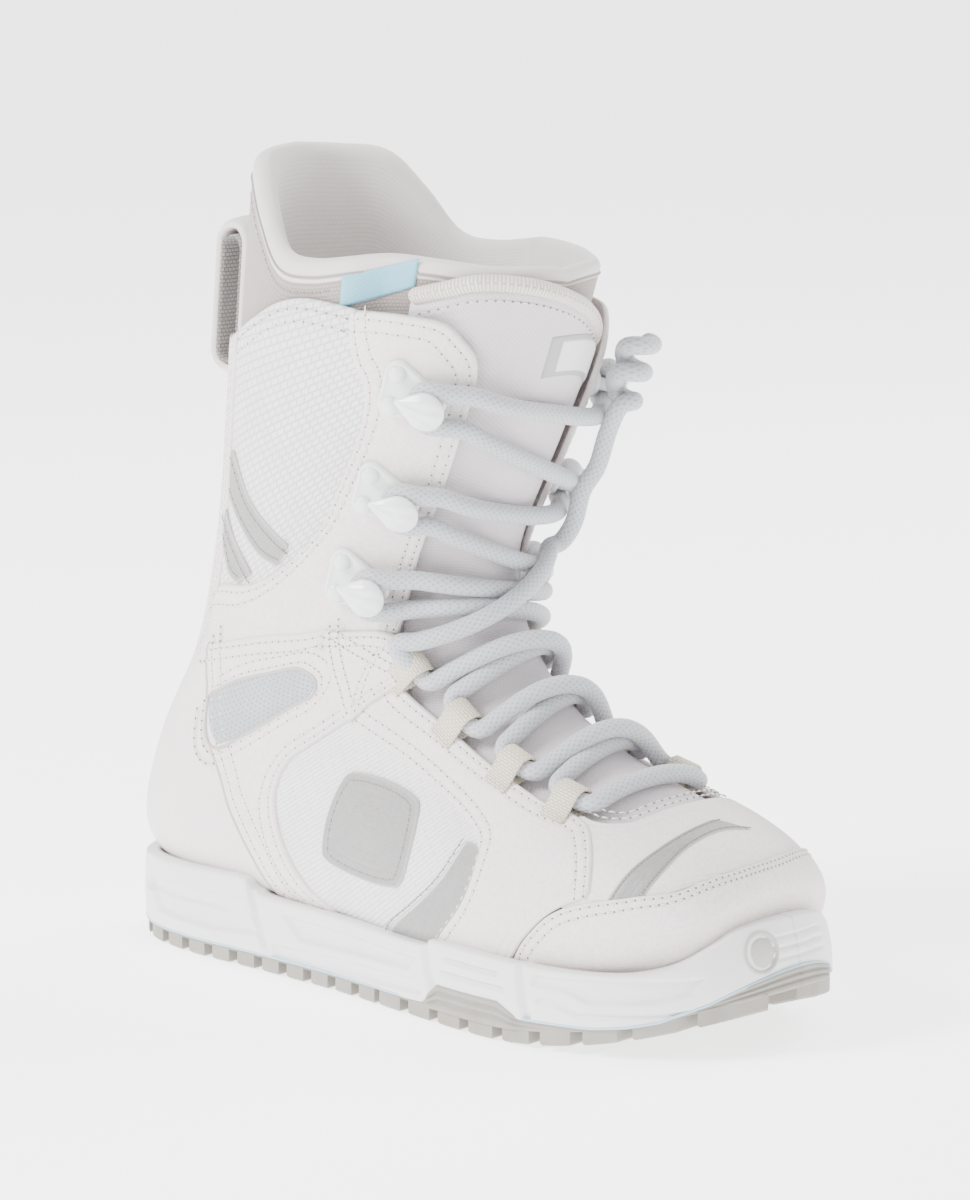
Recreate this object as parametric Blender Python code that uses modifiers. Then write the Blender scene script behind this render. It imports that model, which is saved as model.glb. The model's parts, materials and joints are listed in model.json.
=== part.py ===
"""Right snowboard boot: lugged rubber outsole, moulded midsole, stitched upper, laced tongue, padded liner."""
import math

import bmesh
import bpy
import numpy as np
from mathutils import Matrix, Vector
from mathutils.geometry import convex_hull_2d

# Overall sizes of the boot, in metres.
SOLE_LENGTH = 0.292
SOLE_WIDTH = 0.112
BOOT_HEIGHT = 0.290

# The size the form table and the outlines below are written for, in millimetres.
WRITTEN_FOR = (292, 112, 290)

# Gap left between neighbours, one over the other and side by side.
GAP = 0.0004
LAYER_GAP = 0.0012
SEAM_GAP = 0.0010

# Thickness of each layer, from the outside in.
SHELL = 0.0024
WEBBING = 0.0012
TONGUE = 0.0022
BOARD = 0.0016
LINER_FOOT = 0.0036
LINER_CUFF = 0.0060
FOOTBED = 0.0030
BACKSTAY = 0.0012
LABEL = 0.0008

# How far each layer lies below the face of the upper.
TAB_FACE = -SHELL - LAYER_GAP
TONGUE_FACE = TAB_FACE - WEBBING - SEAM_GAP
LINER_FRONT_FACE = TONGUE_FACE - TONGUE - LAYER_GAP
UNDER_SHELL = -SHELL - LAYER_GAP
LINER_BOTTOM_FACE = UNDER_SHELL - BOARD - LAYER_GAP
FOOTBED_FACE = LINER_BOTTOM_FACE - LINER_FOOT - LAYER_GAP

# Lace, the loops it runs through and the hooks it goes round.
LACE_RADIUS = 0.0033
LACE_CLEARANCE = 0.0007
LOOP_WIDTH = 0.009
PLATE = 0.0020
RIVET_RADIUS = 0.0016
RIVET_HEAD = 0.0030
RIVET_CLEARANCE = 0.0003
RIVET_SPACING = 0.0116
NECK_LENGTH = 0.0032
NECK_WIDTH = 0.0044
HOOD = 0.0024

# Sole: the outsole, the lugs moulded on it, and the toe badge.
OUTSOLE_HEIGHT = 0.0090
LUG_DEPTH = 0.0052
HEEL_LUG = 0.0088
HEEL_LUGS = 11
FOREFOOT_LUG = 0.0115
FOREFOOT_LUGS = 9
CENTRE_GROOVE = 0.016
BADGE_RADIUS = 0.006

# Ankle hinge (x, z), and the two faces of the flex gap in front of it, as angles above level.
ANKLE = (72, 112)
FOOT_SIDE_ANGLE = 11.5
CUFF_SIDE_ANGLE = 21.5

# Form of the foot and shaft, one row per section from the toe tip to the top of the shaft:
# front line x, z; back line x, z; half width lateral, medial; where the section is widest;
# roundness above and below that; middle y.
SECTIONS = np.array([
    (280, 42, 279, 34, 6, 6, 0.50, 2.0, 2.0, 6),
    (281, 55, 272, 28, 30, 31, 0.45, 2.2, 2.6, 6),
    (272, 67, 260, 24, 43, 40, 0.38, 2.3, 4.0, 5),
    (256, 76, 240, 21, 51, 46, 0.34, 2.2, 5.0, 4),
    (236, 84, 214, 19, 54, 47, 0.33, 2.1, 5.0, 2),
    (214, 93, 184, 19, 53, 45, 0.32, 2.0, 5.0, 1),
    (193, 105, 150, 20, 49, 42, 0.33, 2.0, 5.0, 0),
    (177, 121, 112, 22, 45, 40, 0.36, 2.0, 5.0, 0),
    (168, 139, 70, 23, 43, 40, 0.42, 2.0, 4.5, 0),
    (167, 157, 30, 24, 42, 40, 0.46, 2.0, 4.0, 0),
    (171, 171, 4, 36, 42, 41, 0.48, 2.1, 3.2, 0),
    (177, 184, 6, 68, 42, 41, 0.50, 2.2, 2.5, 0),
    (184, 201, 24, 104, 45, 43, 0.50, 2.3, 2.2, 0),
    (193, 224, 36, 146, 49, 47, 0.49, 2.4, 2.1, 0),
    (201, 247, 43, 190, 52, 50, 0.48, 2.4, 2.1, 0),
    (208, 270, 48, 238, 54, 52, 0.48, 2.4, 2.1, 0),
    (214, 292, 54, 286, 55, 53, 0.48, 2.4, 2.1, 0),
    (219, 314, 60, 334, 55, 53, 0.48, 2.4, 2.1, 0),
], float)

# Outline of the sole seen from above, from the back of the heel round the lateral side.
SOLE_OUTLINE = np.array([
    (0, 0), (4, -19), (17, -34), (45, -42), (85, -44), (125, -47), (165, -53), (205, -58),
    (238, -56), (265, -46), (284, -26), (292, 2), (288, 27), (270, 46), (240, 53.5), (205, 54),
    (165, 46.5), (125, 43), (85, 42.5), (45, 41), (17, 33), (4, 19),
], float)

# Upper rim of the midsole (x, z) from the heel to the toe.
MIDSOLE_RIM = ((-8, 31), (45, 32), (80, 27), (95, 29), (170, 27), (180, 30), (230, 28), (262, 29),
               (280, 40), (300, 45))

# Sewing lines of the upper as (section, place on the section) pairs, place 0 at the front line,
# -1 the back line on the lateral side and 1 the back line on the medial side.
TOE_CAP_EDGE = ((3.95, -0.80), (3.9, -0.63), (3.75, -0.525), (3.33, -0.433), (2.5, -0.383),
                (1.83, -0.292), (1.58, -0.042), (1.83, 0.208), (2.5, 0.36), (3.33, 0.433),
                (3.75, 0.525), (3.9, 0.63), (3.95, 0.80))
VAMP_SIDE_EDGE = ((5.6, -0.80), (5.35, -0.60), (5.2, -0.43), (4.75, -0.32), (4.1, -0.25))
THROAT_EDGE = ((4.1, -0.25), (3.55, -0.18), (3.6, 0.0), (3.55, 0.18), (4.1, 0.25))
FACING_EDGE = ((4.1, -0.25), (4.75, -0.255), (5.75, -0.25), (6.75, -0.25), (7.8, -0.255))
HEEL_SEAM = ((7.6, -0.82), (7.95, -0.78), (8.55, -0.70), (9.65, -0.633), (10.68, -0.65), (11.9, -0.745))
CUFF_FRONT_EDGE = ((8.7, -0.215), (9.3, -0.195), (10.08, -0.165), (11.58, -0.17), (12.67, -0.183),
                   (13.33, -0.19), (13.83, -0.235))
CUFF_TOP_EDGE = ((13.83, -0.235), (14.33, -0.325), (14.75, -0.475), (14.83, -0.608), (14.67, -0.70),
                 (14.6, -0.85), (14.55, -0.995))
TONGUE_TOP_EDGE = ((14.7, -0.33), (14.45, -0.2), (13.85, 0.0), (13.45, 0.2), (13.45, 0.33))
LINER_TOP = ((0.0, 14.1), (0.15, 14.3), (0.3, 14.7), (0.5, 15.0), (0.6, 15.05), (0.7, 15.2),
             (0.8, 15.6), (0.9, 15.95), (1.0, 16.05))

# Where the lace is held: sections of the loops, and of each hook's rivets and hood.
LOOP_SECTIONS = (4.55, 5.6, 6.75, 8.0)
HOOKS = (((10.98, 0.333), (10.08, 0.238)), ((12.29, 0.333), (11.75, 0.242)), ((13.46, 0.317), (13.08, 0.242)))

SCALE = np.array([SOLE_LENGTH, SOLE_WIDTH, BOOT_HEIGHT]) / np.array(WRITTEN_FOR)

WHITE_LEATHER = ("white synthetic leather", "#E9E6E5", 0.55)
WHITE_FABRIC = ("white woven fabric", "#E4E2E4", 0.85)
WHITE_RUBBER = ("white moulded foam", "#E6E4E4", 0.50)
GREY_RUBBER = ("grey rubber", "#B9B5AE", 0.75)
CREAM_WEBBING = ("cream webbing", "#DCD6CC", 0.85)
GREY_WEBBING = ("grey webbing", "#BDBCBC", 0.85)
LACE_CORD = ("braided lace", "#CFD3D8", 0.75)
CLEAR_WHITE = ("white hard plastic", "#E6ECEC", 0.30)
LINER_FABRIC = ("grey liner fabric", "#CDC9C8", 0.90)
BRUSHED_FABRIC = ("brushed liner lining", "#E2E0DF", 0.95)
GREY_BADGE = ("grey moulded badge", "#C8C6C4", 0.50)
BOARD_FIBRE = ("insole board", "#A79F92", 0.90)


def hex_colour(text):
    """Linear colour from an sRGB hex."""
    values = [int(text[i:i + 2], 16) / 255 for i in (1, 3, 5)]
    return [v / 12.92 if v <= 0.04045 else ((v + 0.055) / 1.055) ** 2.4 for v in values] + [1.0]


def material(kind):
    """Material of a piece, made once."""
    name, colour, roughness = kind
    found = bpy.data.materials.get(name)
    if found:
        return found
    made = bpy.data.materials.new(name)
    made.use_nodes = True
    surface = made.node_tree.nodes["Principled BSDF"]
    surface.inputs["Base Color"].default_value = hex_colour(colour)
    surface.inputs["Roughness"].default_value = roughness
    surface.inputs["Metallic"].default_value = 0.0
    made.diffuse_color = hex_colour(colour)
    return made


def smooth_rows(rows, at):
    """Rows of a table read at fractional places, on a smooth curve through the rows."""
    rows = np.asarray(rows, float)
    last = len(rows) - 1
    at = np.clip(np.asarray(at, float), 0, last)
    i = np.minimum(at.astype(int), last - 1)
    f = (at - i)[:, None]
    e = np.vstack([2 * rows[0] - rows[1], rows, 2 * rows[-1] - rows[-2]])
    p0, p1, p2, p3 = e[i], e[i + 1], e[i + 2], e[i + 3]
    return 0.5 * (2 * p1 + (p2 - p0) * f + (2 * p0 - 5 * p1 + 4 * p2 - p3) * f**2
                  + (3 * p1 - p0 - 3 * p2 + p3) * f**3)


def by_length(points, count, weights=None):
    """A line of points read again at even steps of its length."""
    points = np.asarray(points, float)
    measured = points if weights is None else points * np.asarray(weights)
    steps = np.linalg.norm(np.diff(measured, axis=0), axis=1)
    run = np.concatenate([[0], np.cumsum(steps)])
    at = np.linspace(0, run[-1], count)
    return np.stack([np.interp(at, run, points[:, k]) for k in range(points.shape[1])], -1)


def half_section(section, side, count=300):
    """One side of a section, from the front line to the back line."""
    fx, fz, bx, bz, lateral, medial, widest, above, below, middle = section
    angle = np.linspace(math.pi / 2, -math.pi / 2, count)
    sine, cosine = np.sin(angle), np.cos(angle)
    power = 2 / np.where(sine >= 0, above, below)
    along = np.sign(sine) * np.abs(sine) ** power
    across = np.abs(cosine) ** power
    k = widest + np.where(sine >= 0, 1 - widest, widest) * along
    width = lateral if side < 0 else medial
    points = np.stack([bx + k * (fx - bx), middle + side * width * across, bz + k * (fz - bz)], -1)
    return points * SCALE


ROWS = 12 * (len(SECTIONS) - 1) + 1
HALF = 100


def form_tables():
    """Points and outward normals of the form on an even grid of sections and places."""
    points = np.empty((ROWS, 2 * HALF + 1, 3))
    for i, section in enumerate(smooth_rows(SECTIONS, np.linspace(0, len(SECTIONS) - 1, ROWS))):
        points[i, :HALF + 1] = by_length(half_section(section, -1), HALF + 1)[::-1]
        points[i, HALF:] = by_length(half_section(section, 1), HALF + 1)
    along = np.gradient(points, axis=0)
    across = np.gradient(points, axis=1)
    across[:, 0] = across[:, -1] = points[:, 1] - points[:, -2]
    normals = np.cross(across, along)
    normals /= np.linalg.norm(normals, axis=-1, keepdims=True)
    return points, normals


FORM_POINTS, FORM_NORMALS = form_tables()


def read_grid(grid, v, a):
    """A grid read at section v and place a; places past the back line go on round the other side."""
    a = (np.asarray(a, float) + 1) % 2
    x = np.clip(np.asarray(v, float) / (len(SECTIONS) - 1), 0, 1) * (ROWS - 1)
    y = a / 2 * (2 * HALF)
    i = np.minimum(x.astype(int), ROWS - 2)
    j = np.minimum(y.astype(int), 2 * HALF - 1)
    f = (x - i)[..., None]
    g = (y - j)[..., None]
    return ((grid[i, j] * (1 - f) + grid[i + 1, j] * f) * (1 - g)
            + (grid[i, j + 1] * (1 - f) + grid[i + 1, j + 1] * f) * g)


def form_normal(v, a):
    """Outward normal of the form."""
    normal = read_grid(FORM_NORMALS, v, a)
    return normal / np.linalg.norm(normal, axis=-1, keepdims=True)


def form(v, a, out=0.0):
    """Point of the form at section v and place a, moved out along its normal."""
    v, a, out = np.broadcast_arrays(np.asarray(v, float), np.asarray(a, float), np.asarray(out, float))
    return read_grid(FORM_POINTS, v, a) + form_normal(v, a) * out[..., None]


def rates(v, a):
    """Metres per section and per unit of place, near a point of the form."""
    up = np.linalg.norm(form(v + 0.05, a) - form(v - 0.05, a)) / 0.1
    round_it = np.linalg.norm(form(v, a + 0.01) - form(v, a - 0.01)) / 0.02
    return up, round_it


def split_section(a, angle, lift):
    """Section at which the form crosses the level of the ankle hinge, sloping up in front of it."""
    v = np.linspace(3, 14, 441)
    ankle_x, ankle_z = ANKLE[0] * SCALE[0], ANKLE[1] * SCALE[2]
    found = []
    for place in np.atleast_1d(a):
        p = form(v, np.full_like(v, place))
        height = p[:, 2] - ankle_z - lift - np.maximum(p[:, 0] - ankle_x, 0) * math.tan(math.radians(angle))
        k = np.nonzero(height < 0)[0][-1]
        found.append(v[k] + (v[k + 1] - v[k]) * height[k] / (height[k] - height[k + 1]))
    return np.array(found)


def foot_split(a):
    """Top of the foot half."""
    return split_section(a, FOOT_SIDE_ANGLE, -GAP)


def cuff_split(a):
    """Bottom of the cuff half."""
    return split_section(a, CUFF_SIDE_ANGLE, GAP)


EVEN = (0.022, 0.125)


def sew_line(points, count):
    """Smooth line through (section, place) pairs, read at even steps."""
    dense = smooth_rows(points, np.linspace(0, len(points) - 1, 20 * len(points)))
    return by_length(dense, count, EVEN)


def moved(line, distance):
    """A line on the form moved sideways by a distance, to its left seen from outside."""
    run = np.gradient(line * np.array(EVEN), axis=0)
    run /= np.linalg.norm(run, axis=1, keepdims=True)
    side = np.stack([run[:, 1], -run[:, 0]], -1)
    return line + side * distance / np.array(EVEN)


def mirrored(line):
    """The same line on the other side of the boot."""
    return np.asarray(line, float) * np.array([1, -1])


def collection(name, hidden=False):
    """Collection made once."""
    found = bpy.data.collections.get(name)
    if not found:
        found = bpy.data.collections.new(name)
        bpy.context.scene.collection.children.link(found)
        found.hide_render = hidden
    return found


def add_object(name, data, kind=None):
    """Object of the boot, or a cutter when it has no material."""
    made = bpy.data.objects.new(name, data)
    collection("snowboard_boot" if kind else "cutters", hidden=not kind).objects.link(made)
    if kind:
        data.materials.append(material(kind))
    else:
        made.hide_render = True
        made.display_type = 'WIRE'
    return made


def mesh_object(name, points, faces, kind=None):
    """Object from points and faces, its faces turned outward when it is closed."""
    data = bpy.data.meshes.new(name)
    data.from_pydata([tuple(p) for p in points], [], faces)
    return add_object(name, data, kind)


def applied(name, source, kind):
    """A new object holding the finished mesh of another one, which is taken away."""
    data = bpy.data.meshes.new_from_object(source.evaluated_get(bpy.context.evaluated_depsgraph_get()))
    data.name = name
    data.materials.clear()
    bpy.data.objects.remove(source)
    b = bmesh.new()
    b.from_mesh(data)
    bmesh.ops.remove_doubles(b, verts=b.verts, dist=0.000005)
    bmesh.ops.recalc_face_normals(b, faces=b.faces)
    b.to_mesh(data)
    b.free()
    return add_object(name, data, kind)


def cut(target, cutter, how='DIFFERENCE'):
    """Boolean of one piece with a cutter."""
    step = target.modifiers.new(cutter.name, 'BOOLEAN')
    step.object = cutter
    step.operation = how
    step.solver = 'EXACT'


def shell(name, v, a, out, thickness, kind, ring=False):
    """Layer of even thickness over part of the form, its outer face given by a grid of (v, a)."""
    points = form(v, a, out)
    rows, columns = v.shape
    faces = []
    for i in range(rows - 1):
        for j in range(columns if ring else columns - 1):
            k = (j + 1) % columns
            faces.append((i * columns + j, i * columns + k, (i + 1) * columns + k, (i + 1) * columns + j))
    middle = len(faces) // 2
    corners = points.reshape(-1, 3)[list(faces[middle])]
    facing = np.cross(corners[2] - corners[0], corners[3] - corners[1])
    if facing @ form_normal(v.reshape(-1)[faces[middle][0]], a.reshape(-1)[faces[middle][0]]) < 0:
        faces = [face[::-1] for face in faces]
    made = mesh_object(name, points.reshape(-1, 3), faces, kind)
    thicken = made.modifiers.new("thickness", 'SOLIDIFY')
    thicken.thickness = thickness
    thicken.offset = -1
    thicken.use_even_offset = True
    thicken.use_quality_normals = True
    return made


def filled(bottom, top, left, right):
    """Grid of (section, place) pairs inside four border lines."""
    columns, rows = len(bottom), len(left)
    s = np.linspace(0, 1, columns)[None, :, None]
    t = np.linspace(0, 1, rows)[:, None, None]
    sides = left[:, None] * (1 - s) + right[:, None] * s
    ends = bottom[None] * (1 - t) + top[None] * t
    corners = ((bottom[0] * (1 - s) + bottom[-1] * s) * (1 - t) + (top[0] * (1 - s) + top[-1] * s) * t)
    grid = sides + ends - corners
    return grid[..., 0], grid[..., 1]


def closed_outline(points, count):
    """Smooth closed outline through points."""
    ring = np.vstack([points[-2:], points, points[:3]])
    dense = smooth_rows(ring, np.linspace(2, len(points) + 2, 24 * len(points) + 1))
    return by_length(dense, count + 1)[:-1]


def prism(name, outline, axis, low, high, kind=None):
    """Straight solid from an outline in the two axes left, between two levels along one axis."""
    count = len(outline)
    others = [k for k in range(3) if k != axis]
    points = np.zeros((2 * count, 3))
    points[:count, others] = outline
    points[count:, others] = outline
    points[:count, axis] = low
    points[count:, axis] = high
    faces = [tuple(range(count))[::-1], tuple(range(count, 2 * count))]
    faces += [(i, (i + 1) % count, count + (i + 1) % count, count + i) for i in range(count)]
    made = mesh_object(name, points, faces, kind)
    b = bmesh.new()
    b.from_mesh(made.data)
    bmesh.ops.recalc_face_normals(b, faces=b.faces)
    b.to_mesh(made.data)
    b.free()
    return made


def frame_of(origin, x_towards, normal):
    """Placing matrix with x towards a point and z along a normal; mirrored on the medial side."""
    z = Vector(normal).normalized()
    x = Vector(x_towards) - Vector(origin)
    x = (x - z * x.dot(z)).normalized()
    y = z.cross(x)
    if y.z < 0:
        y = -y
    matrix = Matrix((x, y, z)).transposed().to_4x4()
    matrix.translation = Vector(origin)
    return matrix


def placed(made, matrix):
    """Moves the mesh of a piece into its place and keeps its faces outward."""
    made.data.transform(matrix)
    if matrix.determinant() < 0:
        made.data.flip_normals()
    return made


def toe_spring(x):
    """Rise of the sole towards the toe, x in written millimetres."""
    return 16 * np.clip((x - 205) / 88, 0, 1) ** 2


def heel_rise(x):
    """Bevel at the back of the heel."""
    return 4 * np.clip((22 - x) / 22, 0, 1) ** 2


def sole_level(x, rise):
    """Line of (x, z) points at a height above the ground line of the sole, in metres."""
    z = (toe_spring(x) + heel_rise(x)) * SCALE[2]
    return np.stack([x * SCALE[0], z + rise], -1)


def sole_outline(inset=0.0):
    """Outline of the sole in metres, moved in by an inset."""
    ring = closed_outline(SOLE_OUTLINE, 52) * SCALE[:2]
    run = np.roll(ring, -1, axis=0) - np.roll(ring, 1, axis=0)
    run /= np.linalg.norm(run, axis=1, keepdims=True)
    return ring + np.stack([-run[:, 1], run[:, 0]], -1) * inset


def build_midsole():
    """Moulded midsole: the sole outline between the outsole and the rim, hollowed for the upper."""
    made = prism("midsole", sole_outline(), 2, 0.0, 0.08, WHITE_RUBBER)
    low = sole_level(np.linspace(-8, 300, 45), OUTSOLE_HEIGHT + GAP)
    rim = smooth_rows(MIDSOLE_RIM, np.linspace(0, len(MIDSOLE_RIM) - 1, 40)) * SCALE[[0, 2]]
    side = prism("midsole_side_view", np.vstack([low, rim[::-1]]), 1, -0.09, 0.09)
    cut(made, side, 'INTERSECT')
    rows, columns = 29, 44
    v = np.repeat(np.linspace(0, 13, rows)[:, None], columns, axis=1)
    a = np.repeat(np.linspace(-1, 1, columns + 1)[:-1][None], rows, axis=0)
    points = form(v, a, LAYER_GAP).reshape(-1, 3)
    faces = [(i * columns + j, (i + 1) * columns + j, (i + 1) * columns + (j + 1) % columns,
              i * columns + (j + 1) % columns) for i in range(rows - 1) for j in range(columns)]
    faces += [tuple(range(columns)), tuple(range((rows - 1) * columns, rows * columns))[::-1]]
    space = mesh_object("space_for_upper", points, faces)
    b = bmesh.new()
    b.from_mesh(space.data)
    bmesh.ops.recalc_face_normals(b, faces=b.faces)
    b.to_mesh(space.data)
    b.free()
    cut(made, space)
    return made


def badge_frame():
    """Placing of the round badge on the toe bumper, a little to the lateral side of the tip."""
    ring = sole_outline()
    want = np.array([300, -10]) * SCALE[:2]
    k = int(np.argmin(np.linalg.norm(ring - want, axis=1)))
    run = ring[(k + 1) % len(ring)] - ring[k - 1]
    normal = Vector((-run[1], run[0], 0)).normalized()
    if normal.x < 0:
        normal = -normal
    at = Vector((ring[k][0], ring[k][1], 33 * SCALE[2]))
    turn = normal.to_track_quat('Z', 'Y').to_matrix().to_4x4()
    return Matrix.Translation(at) @ turn


def disc(name, radius, low, high, count, kind=None):
    """Short round solid about z."""
    angle = np.linspace(0, 2 * math.pi, count, endpoint=False)
    return prism(name, np.stack([np.cos(angle), np.sin(angle)], -1) * radius, 2, low, high, kind)


def build_badge(midsole):
    """Plain round badge set in a shallow pocket of the toe bumper."""
    place = badge_frame()
    cut(midsole, placed(disc("badge_pocket", BADGE_RADIUS + GAP, -0.0030, 0.006, 32), place))
    return placed(disc("toe_badge", BADGE_RADIUS, -0.0030 + GAP, 0.0008, 32, GREY_BADGE), place)


def build_outsole(name, start, end, lugs, lug):
    """Half of the rubber outsole: a plate with lugs across it, parted by a groove along the middle."""
    made = prism(name, sole_outline(0.0006), 2, -0.001, 0.08, GREY_RUBBER)
    x = np.linspace(start, end, 24)
    top = sole_level(x, OUTSOLE_HEIGHT)
    pitch = (end - start - lug / SCALE[0]) / (lugs - 1)
    comb = []
    for i in range(lugs):
        first = start + i * pitch
        last = first + lug / SCALE[0]
        comb += list(sole_level(np.array([first, (first + last) / 2, last]), 0.0))
        if i < lugs - 1:
            comb += list(sole_level(np.array([last, first + pitch]), LUG_DEPTH))
    side = prism(name + "_side_view", np.vstack([comb, top[::-1]]), 1, -0.09, 0.09)
    cut(made, side, 'INTERSECT')
    run = np.linspace(start - 5, end + 5, 12)
    slot = np.vstack([sole_level(run, -0.004), sole_level(run, LUG_DEPTH * 0.8)[::-1]])
    cut(made, prism(name + "_groove", slot, 1, -CENTRE_GROOVE / 2, CENTRE_GROOVE / 2))
    return made


def vamp_edge():
    """Back edge of the vamp: lateral side, throat, medial side."""
    side = sew_line(VAMP_SIDE_EDGE, 9)
    return np.vstack([side, sew_line(THROAT_EDGE, 9)[1:-1], mirrored(side)[::-1]])


def build_toe_cap():
    """Toe cap, from the tip back to its sewn edge."""
    edge = moved(sew_line(TOE_CAP_EDGE, 25), -SEAM_GAP / 2)
    start = np.stack([np.full(25, 0.1), edge[:, 1]], -1)
    v, a = filled(start, edge, np.linspace(start[0], edge[0], 9), np.linspace(start[-1], edge[-1], 9))
    return shell("toe_cap", v, a, 0.0, SHELL, WHITE_LEATHER)


def build_vamp():
    """Vamp, between the toe cap and the quarters, with the edge of the throat at the top."""
    front = moved(sew_line(TOE_CAP_EDGE, 25), SEAM_GAP / 2)
    back = moved(vamp_edge(), -SEAM_GAP / 2)
    v, a = filled(front, back, np.linspace(front[0], back[0], 7), np.linspace(front[-1], back[-1], 7))
    return shell("vamp", v, a, 0.0, SHELL, WHITE_LEATHER)


def heel_seam():
    """Seam between the lateral quarter and the heel counter, up to the flex gap."""
    line = sew_line(HEEL_SEAM, 60)
    below = line[:, 0] < foot_split(line[:, 1])
    return by_length(line[below], 11, EVEN)


def build_quarter(name, side):
    """Quarter of one side: sole edge, heel seam, flex gap, facing edge, vamp edge."""
    front = moved(sew_line(VAMP_SIDE_EDGE, 9), SEAM_GAP / 2)
    back = moved(heel_seam(), -SEAM_GAP / 2)
    facing = sew_line(FACING_EDGE, 40)
    facing = np.vstack([front[-1], facing[2:]])
    facing = facing[facing[:, 0] < foot_split(facing[:, 1])]
    places = np.linspace(facing[-1, 1], back[-1, 1], 30)
    gap_line = np.stack([foot_split(places), places], -1)
    top = by_length(np.vstack([facing, gap_line[1:]]), 17, EVEN)
    top[-1] = back[-1]
    bottom = np.linspace(front[0], back[0], 17)
    left = by_length(front, 11, EVEN)
    v, a = filled(bottom, top, left, back)
    return shell(name, v, a * side, 0.0, SHELL, WHITE_LEATHER)


def build_heel_counter():
    """Heel counter, round the back from seam to seam."""
    medial = mirrored(moved(heel_seam(), SEAM_GAP / 2))
    lateral = medial * np.array([1, -1]) + np.array([0, 2])
    places = np.linspace(medial[-1, 1], lateral[-1, 1], 15)
    top = np.stack([foot_split(places), places], -1)
    low = sew_line((medial[0], (8.6, 0.92), (9.2, 1.0), (8.6, 1.08), lateral[0]), 15)
    v, a = filled(low, top, medial, lateral)
    return shell("heel_counter", v, a, 0.0, SHELL, WHITE_LEATHER)


def liner_face(v, a):
    """Depth of the liner's outer face: behind the tongue, against the upper, or on the board."""
    place = np.abs((a + 1) % 2 - 1)
    behind = np.clip((place - 0.39) / 0.09, 0, 1)
    behind = behind * behind * (3 - 2 * behind)
    out = LINER_FRONT_FACE * (1 - behind) + UNDER_SHELL * behind
    under = np.clip((place - 0.62) / 0.08, 0, 1) * np.clip((10.6 - v) / 1.0, 0, 1)
    return out * (1 - under) + LINER_BOTTOM_FACE * under


def build_liner_foot():
    """Foot of the soft liner, a sock closed at the toe."""
    a = np.linspace(-1, 1, 29)[:-1]
    start = np.full(28, 1.6)
    share = np.linspace(0, 1, 19)[:, None]
    v = start[None] * (1 - share) + foot_split(a)[None] * share
    a = np.repeat(a[None], 19, axis=0)
    made = shell("liner_foot", v, a, liner_face(v, a), LINER_FOOT, LINER_FABRIC, ring=True)
    b = bmesh.new()
    b.from_mesh(made.data)
    b.verts.ensure_lookup_table()
    b.faces.ensure_lookup_table()
    tip = [b.verts[j] for j in range(28)]
    b.faces.new(tip)
    bmesh.ops.recalc_face_normals(b, faces=b.faces)
    if sum((f.calc_center_median() - Vector((0.14, 0, 0.06))).dot(f.normal) for f in b.faces) < 0:
        bmesh.ops.reverse_faces(b, faces=b.faces)
    b.to_mesh(made.data)
    b.free()
    return made


def liner_top(a):
    """Section the top of the liner reaches at each place."""
    place = np.abs((a + 1) % 2 - 1)
    table = np.array(LINER_TOP)
    return np.interp(place, table[:, 0], table[:, 1])


COLLAR = 0.45


def build_liner_cuff():
    """Shaft of the liner, from the flex gap up to the collar."""
    a = np.linspace(-1, 1, 33)[:-1]
    share = np.linspace(0, 1, 11)[:, None]
    v = cuff_split(a)[None] * (1 - share) + (liner_top(a) - COLLAR - 0.03)[None] * share
    a = np.repeat(a[None], 11, axis=0)
    return shell("liner_cuff", v, a, liner_face(v, a), LINER_CUFF, LINER_FABRIC, ring=True)


def build_liner_collar():
    """Padded rim round the top of the liner, highest at the back."""
    a = np.linspace(-1, 1, 41)[:-1]
    share = np.linspace(0, 1, 4)[:, None]
    v = (liner_top(a) - COLLAR)[None] * (1 - share) + liner_top(a)[None] * share
    a = np.repeat(a[None], 4, axis=0)
    return shell("liner_collar", v, a, liner_face(v, a), LINER_CUFF, BRUSHED_FABRIC, ring=True)


def build_inner_sole(name, reach, first, last, out, thickness, kind):
    """Flat layer under the foot, reaching a place to each side of the back line."""
    a = np.linspace(1 - reach, 1 + reach, 9)
    bow = np.sqrt(np.clip(1 - ((a - 1) / (1.25 * reach)) ** 2, 0, 1))
    share = np.linspace(0, 1, 13)[:, None]
    v = (last - (last - first) * bow)[None] * (1 - share) + last * share
    v = np.minimum(v, last - 0.2 * (1 - share))
    return shell(name, v, np.repeat(a[None], 13, axis=0), out, thickness, kind)


def build_tongue_lower():
    """Lower tongue, from under the vamp up to the flex gap."""
    a = np.linspace(-0.36, 0.36, 9)
    share = np.linspace(0, 1, 9)[:, None]
    v = np.full(9, 3.2)[None] * (1 - share) + foot_split(a)[None] * share
    return shell("tongue_lower", v, np.repeat(a[None], 9, axis=0), TONGUE_FACE, TONGUE, WHITE_FABRIC)


def tongue_top(a):
    """Section the tongue reaches at each place."""
    table = np.array(TONGUE_TOP_EDGE)
    return np.interp(a, table[:, 1], table[:, 0])


BINDING = 0.28


def build_tongue_upper():
    """Upper tongue, from the flex gap to its binding."""
    a = np.linspace(-0.34, 0.34, 11)
    share = np.linspace(0, 1, 11)[:, None]
    v = cuff_split(a)[None] * (1 - share) + (tongue_top(a) - BINDING - 0.02)[None] * share
    return shell("tongue_upper", v, np.repeat(a[None], 11, axis=0), TONGUE_FACE, TONGUE, WHITE_FABRIC)


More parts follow.
